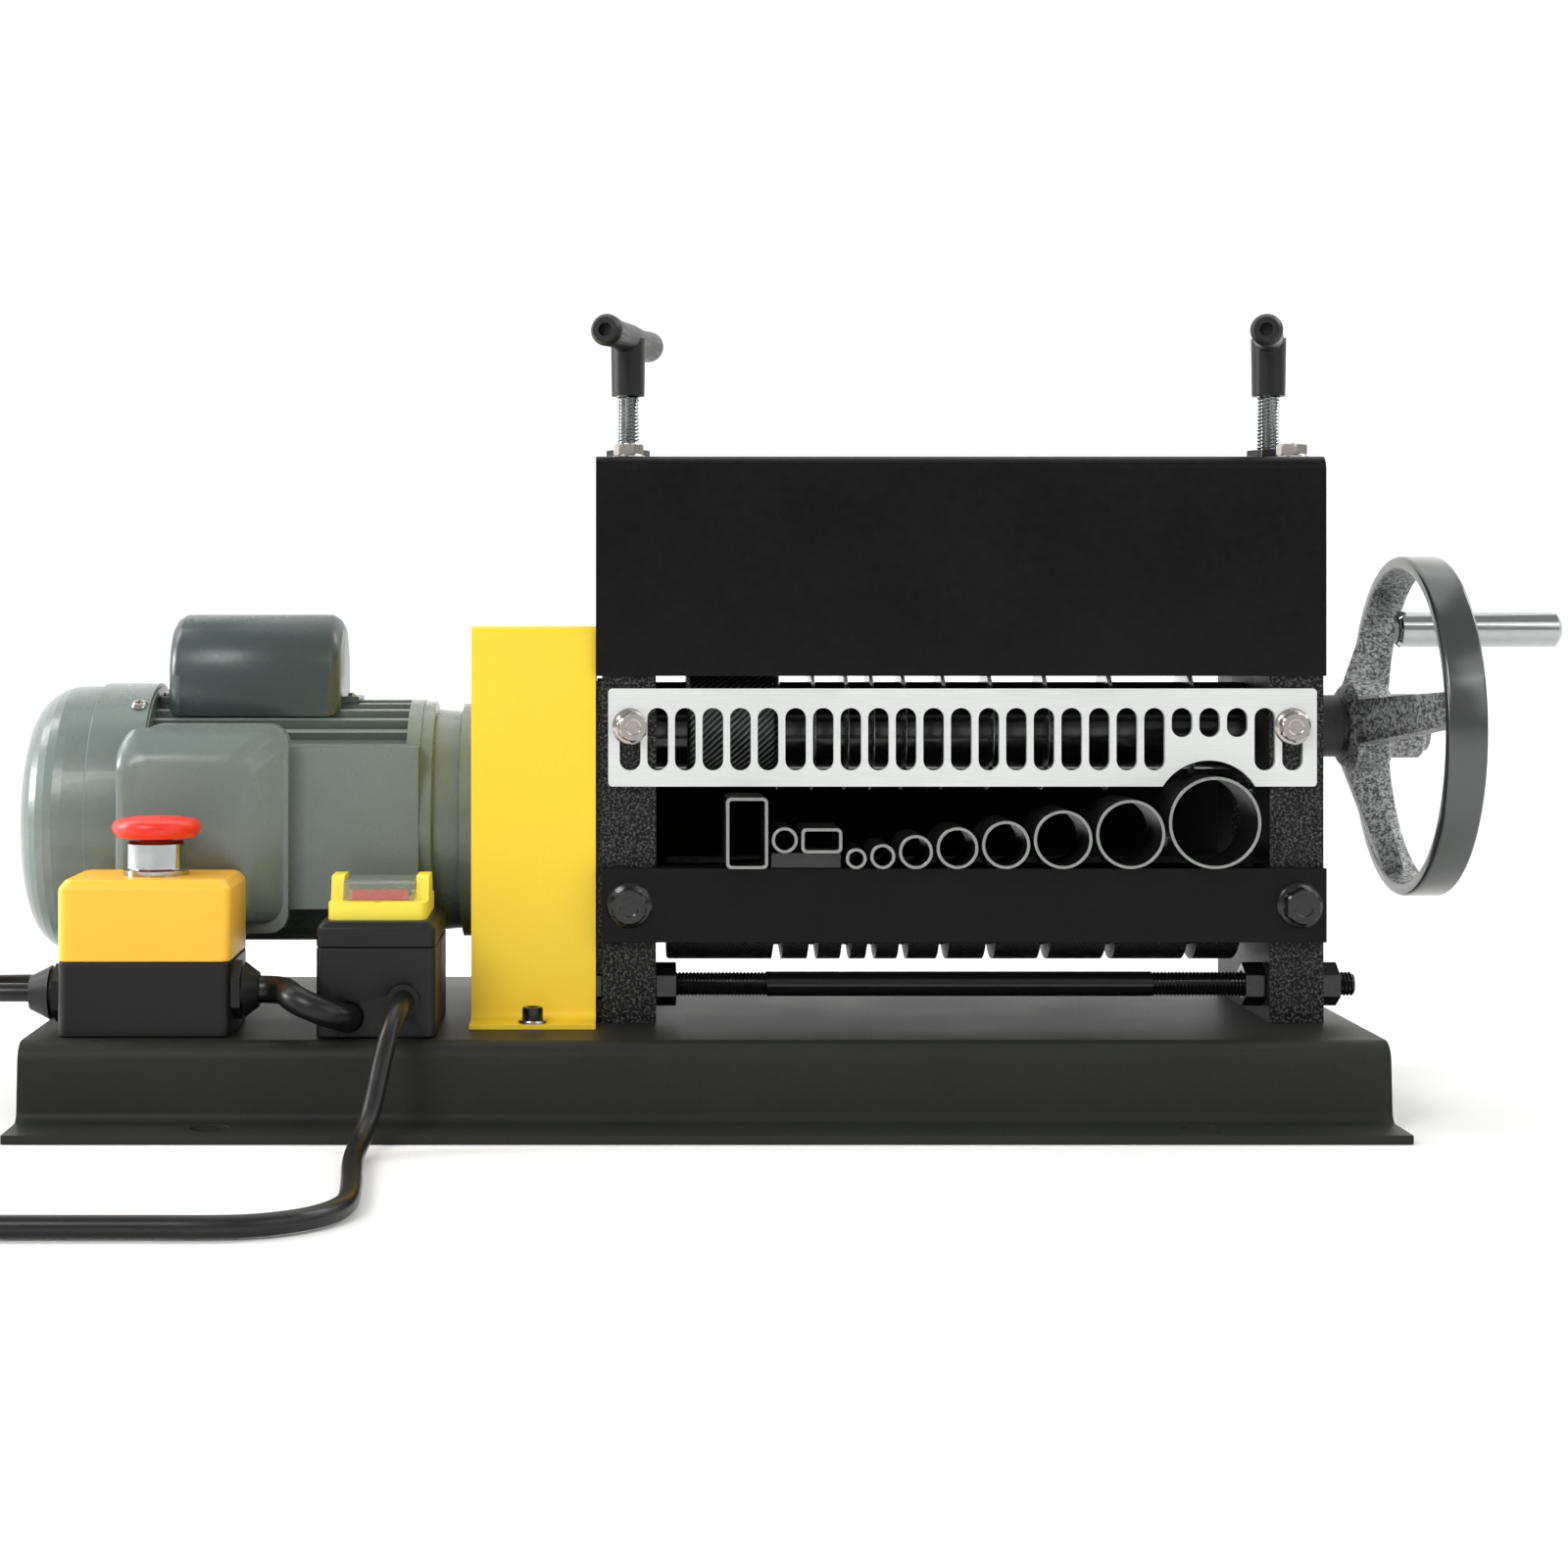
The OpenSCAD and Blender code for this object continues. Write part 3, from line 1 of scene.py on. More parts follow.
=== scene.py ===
import bpy, bmesh, json, math
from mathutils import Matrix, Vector


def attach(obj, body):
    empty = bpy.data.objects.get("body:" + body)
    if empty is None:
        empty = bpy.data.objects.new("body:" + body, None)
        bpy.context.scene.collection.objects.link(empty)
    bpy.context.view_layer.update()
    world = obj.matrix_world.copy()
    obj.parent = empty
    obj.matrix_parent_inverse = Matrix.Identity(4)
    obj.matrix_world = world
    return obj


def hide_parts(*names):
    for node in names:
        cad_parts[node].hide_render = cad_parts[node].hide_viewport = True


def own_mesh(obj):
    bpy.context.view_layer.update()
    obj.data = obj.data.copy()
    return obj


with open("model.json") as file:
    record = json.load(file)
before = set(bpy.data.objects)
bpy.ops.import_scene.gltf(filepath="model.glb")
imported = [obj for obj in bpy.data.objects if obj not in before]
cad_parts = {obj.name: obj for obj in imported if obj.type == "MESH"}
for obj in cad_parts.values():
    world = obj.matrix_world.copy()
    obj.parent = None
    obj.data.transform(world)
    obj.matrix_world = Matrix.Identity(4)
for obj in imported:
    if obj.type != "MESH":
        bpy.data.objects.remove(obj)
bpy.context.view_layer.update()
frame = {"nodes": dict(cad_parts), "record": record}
scene = bpy.context.scene
nodes = frame["nodes"]
MM = 0.001


# colour as written in sRGB hex, turned to linear light
def paint(text):
    parts = [int(text[i:i + 2], 16) / 255 for i in (1, 3, 5)]
    light = [c / 12.92 if c <= 0.04045 else ((c + 0.055) / 1.055) ** 2.4 for c in parts]
    return light + [1.0]


# one node, its settings, and its sockets given as numbers or links
def add(tree, kind, sockets=None, **settings):
    made = tree.nodes.new(kind)
    for key, value in settings.items():
        setattr(made, key, value)
    for key, value in (sockets or {}).items():
        if isinstance(value, bpy.types.NodeSocket):
            tree.links.new(value, made.inputs[key])
        else:
            made.inputs[key].default_value = value
    return made


# camera at the photograph's height and side, with its framing set by the lens shift
eye = bpy.data.cameras.new("eye")
eye.lens = 61.83
eye.sensor_width = 36
eye.shift_x = 0.1125
eye.shift_y = -0.10125
eye.clip_end = 100
eye_object = bpy.data.objects.new("eye", eye)
eye_object.location = (-0.0443, -1.355, 0.2314)
eye_object.rotation_euler = (math.radians(90), 0, 0)
scene.collection.objects.link(eye_object)
scene.camera = eye_object
scene.view_settings.view_transform = "Standard"


# tree of a new material with its output and shader
def finish(name):
    made = bpy.data.materials.new(name)
    made.use_nodes = True
    tree = made.node_tree
    tree.nodes.clear()
    shader = add(tree, "ShaderNodeBsdfPrincipled")
    add(tree, "ShaderNodeOutputMaterial", {"Surface": shader.outputs[0]})
    place = add(tree, "ShaderNodeTexCoord").outputs["Object"]
    return made, tree, shader, place


# finish with a grain in millimetres, a slow change of tone, and a roughness that wanders a little;
# soft sets how gently the two tones meet, and peak how far the second one keeps to the tops of the grain, which
# paints it as a highlight there;
# bare gives an axis, a limit in metres and a tone: beyond the limit the coat ends and metal shows
def surface(name, tone, shade, rough, grain, depth, metal=0.0, blotch=60, stretch=(1, 1, 1),
            coat=0.0, gloss=0.5, soft=0.3, peak=0.0, bare=None):
    made, tree, shader, place = finish(name)
    drawn = add(tree, "ShaderNodeMapping", {"Vector": place, "Scale": stretch}).outputs[0]
    cloud = add(tree, "ShaderNodeTexNoise", {"Vector": place, "Scale": 1000 / blotch, "Detail": 4.0})
    fine = add(tree, "ShaderNodeTexNoise", {"Vector": drawn, "Scale": 1000 / grain, "Detail": 3.0})
    mixed = add(tree, "ShaderNodeMath", {0: cloud.outputs[0], 1: fine.outputs[0]}, operation="ADD")
    spread = add(tree, "ShaderNodeMapRange", {"Value": mixed.outputs[0], "From Min": 1 + peak - soft,
                                              "From Max": 1 + peak + soft})
    colour = add(tree, "ShaderNodeMix", {0: spread.outputs[0], 6: paint(tone), 7: paint(shade)},
                 data_type="RGBA")
    wander = add(tree, "ShaderNodeMapRange", {"Value": mixed.outputs[0], "From Min": 0.6, "From Max": 1.4,
                                              "To Min": rough - 0.07, "To Max": rough + 0.07})
    relief = add(tree, "ShaderNodeBump", {"Height": fine.outputs[0], "Strength": 0.6, "Distance": depth * MM})
    shader.inputs["Metallic"].default_value = metal
    shader.inputs["Coat Weight"].default_value = coat
    shader.inputs["Specular IOR Level"].default_value = gloss
    if bare:
        axis, limit, shown = bare
        along = add(tree, "ShaderNodeSeparateXYZ", {0: place}).outputs[axis]
        edge = add(tree, "ShaderNodeMapRange", {"Value": along, "From Min": limit, "From Max": limit - 0.0002})
        colour = add(tree, "ShaderNodeMix", {0: edge.outputs[0], 6: colour.outputs[2], 7: paint(shown)},
                     data_type="RGBA")
        share = add(tree, "ShaderNodeMapRange", {"Value": edge.outputs[0], "To Min": metal, "To Max": 1.0})
        tree.links.new(share.outputs[0], shader.inputs["Metallic"])
    tree.links.new(colour.outputs[2], shader.inputs["Base Color"])
    tree.links.new(wander.outputs[0], shader.inputs["Roughness"])
    tree.links.new(relief.outputs[0], shader.inputs["Normal"])
    return made


# satin black paint on folded sheet: low sheen, faint orange peel
satin_black = surface("satin_black_paint", "#0B0B0B", "#121212", 0.34, 3.0, 0.04, gloss=0.15)
# dark grey powder coat on the base: an even, quiet sheen
base_powder = surface("dark_grey_powder_coat", "#222421", "#282A27", 0.48, 1.6, 0.006, gloss=0.22)
# black wrinkle paint on the thick end plates: coarse pebbles, with a painted highlight in a pale second tone on
# the tops of the grain
wrinkle_black = surface("black_wrinkle_paint", "#040404", "#565856", 0.4, 1.0, 0.4, blotch=1.4,
                        gloss=0.2, soft=0.13, peak=0.1)
# moulded black ABS: fine spark-eroded grain, dull
black_abs = surface("moulded_black_abs", "#141514", "#1C1D1C", 0.42, 0.9, 0.05, gloss=0.3)
# black oxide on fasteners and guides: oiled, so dark with sharp bright edges
black_oxide = surface("black_oxide_steel", "#0A0A0A", "#121212", 0.18, 3.0, 0.005, gloss=0.55)
# black oxide on the sawn guides, with the front face left bare
cut_guides = surface("black_oxide_bare_ends", "#232423", "#343534", 0.3, 1.2, 0.03, metal=0.5,
                     bare=(1, -0.0757, "#9EA19E"))
# black gloss on the tie rod
gloss_black = surface("gloss_black_bar", "#0E0E0E", "#161616", 0.16, 2.0, 0.01)
# yellow powder coat on the drive guard: thick, even, a soft gloss
yellow_powder = surface("yellow_powder_coat", "#FEDA3C", "#FCD534", 0.42, 2.0, 0.03, gloss=0.35)
# moulded orange-yellow ABS of the stop box
yellow_abs = surface("moulded_yellow_abs", "#FFC842", "#FDC23A", 0.4, 1.0, 0.03, gloss=0.4)
# moulded lemon yellow ABS of the switch bezel
lemon_abs = surface("moulded_lemon_abs", "#FFEB50", "#F9E347", 0.4, 1.0, 0.03, gloss=0.4)
# red and green moulded push parts: shiny plastic
red_abs = surface("moulded_red_abs", "#F2331F", "#E62C1B", 0.3, 1.5, 0.02)
green_abs = surface("moulded_green_abs", "#2F8F3E", "#27803A", 0.3, 1.5, 0.02, coat=0.2)
# grey-green machine enamel over castings and pressings
motor_enamel = surface("grey_green_enamel", "#727E79", "#6A7672", 0.3, 2.5, 0.05, coat=0.15)
# the same enamel with painted shade: made darker on the pressed capacitor cover to stand for the shade that
# falls on it
enamel_painted_shade = surface("grey_green_enamel_painted_shade", "#3F4B49", "#394543", 0.3, 2.5, 0.04, gloss=0.4)
# black flexible PVC sheath of the leads
pvc_sheath = surface("black_pvc_sheath", "#0F0F0F", "#161616", 0.34, 1.0, 0.01, gloss=0.4)
# bright zinc on the flange bolts
bright_zinc = surface("bright_zinc_plate", "#BDB8B1", "#AEA9A2", 0.22, 5.0, 0.005, metal=1.0)
# turned steel of the shafts and the crank pin: a fine, even grain
turned_steel = surface("turned_steel", "#8E918F", "#6E7270", 0.33, 0.8, 0.04, metal=1.0, blotch=30)
# brushed sheet steel of the slotted guard: long strokes along the sheet, stretched so that they show
brushed_sheet = surface("brushed_sheet_steel", "#E9EBE9", "#DADDDB", 0.36, 0.9, 0.03, metal=0.3,
                        stretch=(0.04, 1, 1))
# ground tool steel of the blades
ground_steel = surface("ground_tool_steel", "#C2C5C4", "#9A9E9D", 0.26, 0.7, 0.02, metal=1.0, blotch=20)
# bearing bronze
bronze = surface("bearing_bronze", "#B08D4F", "#8E6F3B", 0.4, 1.0, 0.03, metal=1.0)
# spring wire
spring_wire = surface("spring_wire", "#7F8381", "#5F6361", 0.35, 0.8, 0.02, metal=1.0)
# bright chrome plate of the crank grip, the stop collar and the hand screws
chrome = surface("bright_chrome", "#B2B5B5", "#A8ABAB", 0.12, 6.0, 0.005, metal=1.0)
# grey cast iron of the blocks, painted black: sandy skin
sand_cast = surface("black_cast_iron", "#1C1D1C", "#2C2E2D", 0.52, 1.6, 0.25)
# cut steel of the gears
gear_steel = surface("cut_gear_steel", "#7A7E7C", "#5C605E", 0.38, 0.8, 0.04, metal=1.0)


# angle and distance round an axis along X at (y, z) in metres
def round_axis(tree, place, y, z):
    part = add(tree, "ShaderNodeSeparateXYZ", {0: place})
    across = add(tree, "ShaderNodeMath", {0: part.outputs[1], 1: y}, operation="SUBTRACT").outputs[0]
    up = add(tree, "ShaderNodeMath", {0: part.outputs[2], 1: z}, operation="SUBTRACT").outputs[0]
    turn = add(tree, "ShaderNodeMath", {0: up, 1: across}, operation="ARCTAN2").outputs[0]
    flat = add(tree, "ShaderNodeCombineXYZ", {0: across, 1: up}).outputs[0]
    far = add(tree, "ShaderNodeVectorMath", {0: flat}, operation="LENGTH").outputs["Value"]
    return part.outputs[0], turn, far


# knurled steel: sloping or crossed ridges cut round a roller, a whole number of them in one turn
def knurled_steel(name, y, z, radius, ridges, crossed):
    made, tree, shader, place = finish(name)
    along, turn, far = round_axis(tree, place, y, z)
    round_part = add(tree, "ShaderNodeMath", {0: turn, 1: ridges / 2}, operation="MULTIPLY").outputs[0]
    along_part = add(tree, "ShaderNodeMath", {0: along, 1: ridges / 2 / radius},
                     operation="MULTIPLY").outputs[0]
    waves = []
    for way in ("ADD", "SUBTRACT") if crossed else ("ADD", "ADD"):
        slant = add(tree, "ShaderNodeMath", {0: along_part, 1: round_part}, operation=way).outputs[0]
        wave = add(tree, "ShaderNodeMath", {0: slant}, operation="SINE").outputs[0]
        waves.append(add(tree, "ShaderNodeMath", {0: wave}, operation="ABSOLUTE").outputs[0])
    cut = add(tree, "ShaderNodeMath", {0: waves[0], 1: waves[1]}, operation="MULTIPLY").outputs[0]
    # painted shade and highlight: the grooves of the knurl are painted dark and the ridge tops pale, on top of
    # the bump
    colour = add(tree, "ShaderNodeMix", {0: cut, 6: paint("#2C2E2D"), 7: paint("#7C807D")}, data_type="RGBA")
    relief = add(tree, "ShaderNodeBump", {"Height": cut, "Strength": 1.0, "Distance": 0.6 * MM})
    tree.links.new(colour.outputs[2], shader.inputs["Base Color"])
    tree.links.new(relief.outputs[0], shader.inputs["Normal"])
    shader.inputs["Metallic"].default_value = 0.9
    shader.inputs["Roughness"].default_value = 0.36
    return made


# grey casting with a sandy skin, and a rim turned bright on the outside
def cast_wheel(name, y, z, rim):
    made, tree, shader, place = finish(name)
    along, turn, far = round_axis(tree, place, y, z)
    sand = add(tree, "ShaderNodeTexNoise", {"Vector": place, "Scale": 1000 / 1.2, "Detail": 4.0})
    cloud = add(tree, "ShaderNodeTexNoise", {"Vector": place, "Scale": 1000 / 2.4, "Detail": 3.0})
    bright = add(tree, "ShaderNodeMapRange", {"Value": far, "From Min": rim - 0.0012, "From Max": rim - 0.0006})
    grains = add(tree, "ShaderNodeMath", {0: cloud.outputs[0], 1: sand.outputs[0]}, operation="ADD")
    spread = add(tree, "ShaderNodeMapRange", {"Value": grains.outputs[0], "From Min": 0.82, "From Max": 1.18})
    skin = add(tree, "ShaderNodeMix", {0: spread.outputs[0], 6: paint("#545655"), 7: paint("#B4B6B5")},
               data_type="RGBA")
    colour = add(tree, "ShaderNodeMix", {0: bright.outputs[0], 6: skin.outputs[2], 7: paint("#5A5C5B")},
                 data_type="RGBA")
    rough = add(tree, "ShaderNodeMapRange", {"Value": bright.outputs[0], "To Min": 0.55, "To Max": 0.2})
    flat = add(tree, "ShaderNodeMapRange", {"Value": bright.outputs[0], "To Min": 1.0, "To Max": 0.03})
    relief = add(tree, "ShaderNodeBump", {"Height": sand.outputs[0], "Strength": flat.outputs[0],
                                          "Distance": 0.7 * MM})
    tree.links.new(colour.outputs[2], shader.inputs["Base Color"])
    tree.links.new(rough.outputs[0], shader.inputs["Roughness"])
    tree.links.new(relief.outputs[0], shader.inputs["Normal"])
    shader.inputs["Metallic"].default_value = 0.75
    return made


# clear soft film over the push buttons: bends light little, a trace of haze
def clear_film():
    made, tree, shader, place = finish("clear_soft_film")
    haze = add(tree, "ShaderNodeTexNoise", {"Vector": place, "Scale": 1000 / 12, "Detail": 2.0})
    rough = add(tree, "ShaderNodeMapRange", {"Value": haze.outputs[0], "To Min": 0.05, "To Max": 0.2})
    tree.links.new(rough.outputs[0], shader.inputs["Roughness"])
    shader.inputs["Base Color"].default_value = paint("#EEF2F0")
    shader.inputs["Transmission Weight"].default_value = 0.9
    shader.inputs["IOR"].default_value = 1.2
    return made


film = clear_film()
HEAD_Y, ROLLER_Z, BLADE_Z = -0.005, 0.09, 0.181
knurl_small = knurled_steel("knurled_press_roller", HEAD_Y, BLADE_Z, 0.028, 50, False)
knurl_feed = knurled_steel("knurled_feed_roller", HEAD_Y, ROLLER_Z, 0.0255, 72, True)
wheel_iron = cast_wheel("cast_wheel_bright_rim", HEAD_Y, BLADE_Z, 0.08)

home = {node: body for body, held in frame["record"]["behaviour"]["bodies"].items() for node in held}


# the CAD shape as it is, with a better finish
def dress(node, material):
    shape = nodes[node]
    shape.data.materials.clear()
    shape.data.materials.append(material)
    for place in shape.material_slots:
        place.material = material


# new mesh object that moves with a body and takes the place of CAD nodes
def piece(name, mesh, material, body, stands_for=()):
    made = bpy.data.objects.new(name, mesh)
    scene.collection.objects.link(made)
    mesh.materials.clear()
    mesh.materials.append(material)
    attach(made, body)
    if stands_for:
        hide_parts(*stands_for)
    return made


# copy of a CAD shape with its edges broken by a small radius in millimetres
def broken_edges(node, material, radius, steps=2, angle=35):
    build = bmesh.new()
    build.from_mesh(nodes[node].data)
    bmesh.ops.remove_doubles(build, verts=build.verts, dist=2e-6)
    bmesh.ops.dissolve_limit(build, angle_limit=math.radians(0.6), verts=build.verts, edges=build.edges)
    for face in build.faces:
        face.smooth = True
    mesh = bpy.data.meshes.new(node + "_finished")
    build.to_mesh(mesh)
    build.free()
    mesh.set_sharp_from_angle(angle=math.radians(angle))
    made = piece(node + "_finished", mesh, material, home[node], (node,))
    edge = made.modifiers.new("edge", "BEVEL")
    edge.width = radius * MM
    edge.segments = steps
    edge.limit_method = "ANGLE"
    edge.angle_limit = math.radians(angle)
    edge.harden_normals = True
    edge.loop_slide = False
    return made


# smooth step from 0 to 1
def ease(t):
    t = min(max(t, 0), 1)
    return t * t * (3 - 2 * t)


# route of the mains lead in millimetres: out of the switch box, down to the bench, round and into its coil
LEAD_D, BOX_FRONT, EXIT_X, EXIT_Z = 9.0, -108.0, -138.8, 57.8
LAY = LEAD_D / 2 + 0.25
fall_angle = math.radians(55)
fall_r = 4.7 * LEAD_D
fall_run = (EXIT_Z - LAY - 2 * fall_r * (1 - math.cos(fall_angle))) / math.sin(fall_angle)
lead_yz = [(BOX_FRONT + 8, EXIT_Z), (BOX_FRONT - 1, EXIT_Z)]
for i in range(5):
    a = fall_angle * i / 4
    lead_yz.append((BOX_FRONT - 6 - fall_r * math.sin(a), EXIT_Z - fall_r * (1 - math.cos(a))))
for i in range(5):
    a = fall_angle * (1 - i / 4)
    lead_yz.append((BOX_FRONT - 6 - fall_r * (2 * math.sin(fall_angle) - math.sin(a))
                    - fall_run * math.cos(fall_angle), LAY + fall_r * (1 - math.cos(a))))
bench_y = lead_yz[-1][0]


# sideways drift of the lead at a distance from the box
def drift(y):
    return EXIT_X - 14 * ease((BOX_FRONT - 6 - y) / 80) + 6 * ease((bench_y - y) / 100)


turn_y, turn_r = bench_y - 100, 5 * LEAD_D
turn_x = drift(turn_y)
COIL_R, COIL_TURNS, COIL_STEP = 59.0, 2, LEAD_D + 1
coil_x, coil_y = turn_x - turn_r - 170, turn_y - turn_r + COIL_R
lead_route = [(drift(y), y, z) for y, z in lead_yz]
lead_route += [(drift(bench_y - 20 * i), bench_y - 20 * i, LAY) for i in range(1, 5)]
for i in range(7):
    a = math.radians(-15 * i)
    lead_route.append((turn_x - turn_r + turn_r * math.cos(a), turn_y + turn_r * math.sin(a), LAY))
for i in range(1, 7):
    lead_route.append((turn_x - turn_r + i * (coil_x + LEAD_D - turn_x + turn_r) / 6, turn_y - turn_r, LAY))
for i in range(48 * COIL_TURNS + 1):
    t = i / 24
    a = math.radians(-90 - 360 * t)
    r = COIL_R - COIL_STEP * (COIL_TURNS - abs(t - COIL_TURNS))
    lead_route.append((coil_x + r * math.cos(a), coil_y + r * math.sin(a),
                       LAY + COIL_STEP * ease((t - COIL_TURNS + 0.25) / 0.5)))
for i in range(1, 5):
    lead_route.append((coil_x - 13 * i, coil_y - COIL_R, LAY + COIL_STEP))

# route of the motor lead: out of the stop box, round the end of the base, into the motor foot
GLAND_Y, GLAND_Z, BACK_Y, LOW_Z, END_X = -76.0, 57.0, 10.0, 50.0, -330.0
half_turn = (BACK_Y - GLAND_Y) / 2
motor_route = [(-308, GLAND_Y, GLAND_Z), (-320, GLAND_Y, GLAND_Z)]
for i in range(13):
    a = math.radians(-90 - 15 * i)
    motor_route.append((END_X + half_turn * math.cos(a), GLAND_Y + half_turn + half_turn * math.sin(a),
                        GLAND_Z + (LOW_Z - GLAND_Z) * ease(i / 12)))
motor_route += [(END_X + i * (-269 - END_X) / 3, BACK_Y, LOW_Z) for i in range(1, 4)]


# flexible lead as a smooth curve through its route
def lead(name, route, diameter, stands_for):
    curve = bpy.data.curves.new(name, "CURVE")
    curve.dimensions = "3D"
    curve.bevel_depth = diameter / 2 * MM
    curve.bevel_resolution = 4
    curve.resolution_u = 6
    curve.use_fill_caps = True
    line = curve.splines.new("BEZIER")
    line.bezier_points.add(len(route) - 1)
    for knot, spot in zip(line.bezier_points, route):
        knot.co = Vector(spot) * MM
        knot.handle_left_type = knot.handle_right_type = "AUTO"
    curve.materials.append(pvc_sheath)
    made = bpy.data.objects.new(name, curve)
    scene.collection.objects.link(made)
    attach(made, "frame")
    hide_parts(*stands_for)
    return made


mains = lead("mains_lead_sheath", lead_route, LEAD_D, ("mains_lead", "mains_coil"))
motor_cable = lead("motor_lead_sheath", motor_route, 9.0, ("motor_lead",))


# mesh turned or swept: rings of points joined side by side, closed at both ends;
# edges past the crease angle in degrees stay crisp
def skin(name, rings, crease=40):
    build = bmesh.new()
    rows = [[build.verts.new(Vector(p) * MM) for p in ring] for ring in rings]
    for a, b in zip(rows, rows[1:]):
        for i in range(len(a)):
            j = (i + 1) % len(a)
            build.faces.new((a[i], a[j], b[j], b[i]))
    build.faces.new(rows[0][::-1])
    build.faces.new(rows[-1])
    bmesh.ops.recalc_face_normals(build, faces=build.faces)
    for face in build.faces:
        face.smooth = len(face.verts) == 4
    mesh = bpy.data.meshes.new(name)
    build.to_mesh(mesh)
    build.free()
    mesh.set_sharp_from_angle(angle=math.radians(crease))
    return mesh


# rings of a hose along a route, with a radius at each point
def hose(route, radii, sides=24):
    spots = [Vector(p) for p in route]
    side = Vector((0, 0, 1))
    rings = []
    for i, spot in enumerate(spots):
        way = (spots[min(i + 1, len(spots) - 1)] - spots[max(i - 1, 0)]).normalized()
        side = (side - way * side.dot(way)).normalized()
        other = way.cross(side)
        rings.append([spot + radii[i] * (side * math.cos(2 * math.pi * k / sides)
                                         + other * math.sin(2 * math.pi * k / sides)) for k in range(sides)])
    return rings


# rubber sleeve from the stop box round the corner of the switch box
SLEEVE_R, sleeve_bend, bend_a = 6.5, 14.0, math.radians(75)
start = (-207.0, -92.0)
first = (start[0] + sleeve_bend * math.sin(bend_a), start[1] + sleeve_bend * (math.cos(bend_a) - 1))
straight = first[1] - BOX_FRONT + 4
second = (first[0] + straight * math.cos(bend_a), first[1] - straight * math.sin(bend_a))
wide = sleeve_bend - 0.5
centre = (second[0] + wide * math.sin(bend_a), second[1] + wide * math.cos(bend_a))
flat = [(start[0] - 7, start[1])]
for i in range(11):
    a = math.pi / 2 - bend_a * i / 10
    flat.append((start[0] + sleeve_bend * math.cos(a), start[1] - sleeve_bend + sleeve_bend * math.sin(a)))
for i in range(25):
    a = math.radians(195) + math.radians(165) * i / 24
    flat.append((centre[0] + wide * math.cos(a), centre[1] + wide * math.sin(a)))
flat.append((centre[0] + wide, BOX_FRONT + 6))
run = [0.0]
for a, b in zip(flat, flat[1:]):
    run.append(run[-1] + math.dist(a, b))
sleeve_route = [(x, y, 60.7 - 10.7 * ease((s / run[-2] - 0.45) / 0.55)) for (x, y), s in zip(flat, run)]
piece("link_sleeve_smooth", skin("link_sleeve_smooth", hose(sleeve_route, [SLEEVE_R] * len(sleeve_route))),
      pvc_sheath, "frame", ("link_sleeve",))


# rod along X or Z with a rolled thread of a given pitch on some stretches
def threaded_rod(axis, x, y, z, lengths, pitch, sides=28):
    rings = []
    for low, high, radius, cut in lengths:
        steps = max(1, round((high - low) / (pitch / 6))) if cut else 1
        for i in range(steps + 1):
            h = low + (high - low) * i / steps
            ring = []
            for k in range(sides):
                a = 2 * math.pi * k / sides
                tooth = abs(((h / pitch - k / sides) % 1) * 2 - 1)
                r = radius - (0.55 * pitch * tooth if cut else 0)
                if axis == "Z":
                    ring.append((x + r * math.cos(a), y + r * math.sin(a), h))
                else:
                    ring.append((h, y + r * math.cos(a), z + r * math.sin(a)))
            rings.append(ring)
    return rings


# hand screws over the middle of each cheek: a foot, a neck and a thread up to the handle
SIDES = (("left", -34), ("right", 287))
SCREW_Y, THREAD_R, PITCH = -5, 6, 1.75
SCREW_STRETCHES = [(198.5, 202.5, 9, False), (202.5, 206, 5, False), (206, 366, THREAD_R, True)]
for side, x in SIDES:
    rod = threaded_rod("Z", x, SCREW_Y, 0, SCREW_STRETCHES, PITCH)
    piece(side + "_screw_thread", skin(side + "_screw_thread", rod), chrome, side + "_screw",
          (side + "_t_screw",))
# tie rod between the cheeks, threaded at both ends
ROD_STRETCHES = [(-60, -59, 5, False), (-59, 33, THREAD_R, True), (33, 220, THREAD_R, False),
                 (220, 317, THREAD_R, True), (317, 318, 5, False)]
rod = threaded_rod("X", 0, -45, 57, ROD_STRETCHES, PITCH)
piece("tie_rod_thread", skin("tie_rod_thread", rod), gloss_black, "frame", ("tie_rod",))

# return springs of round wire with closed ends
SPRING_R, WIRE_R, SPRING_LOW, SPRING_H, LOOPS = 9.5, 1.3, 113.5, 40, 5.5
for side, x in SIDES:
    coil = []
    for i in range(150):
        t = i / 149 * LOOPS
        rise = min(max((t - 0.5) / (LOOPS - 1), 0), 1)
        a = 2 * math.pi * t
        coil.append((x + SPRING_R * math.cos(a), SCREW_Y + SPRING_R * math.sin(a),
                     SPRING_LOW + SPRING_H * rise))
    wire = skin(side + "_return_spring", hose(coil, [WIRE_R] * len(coil), 12))
    spring = piece(side + "_return_spring", wire, spring_wire, "frame", ("return_springs",))
    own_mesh(spring)


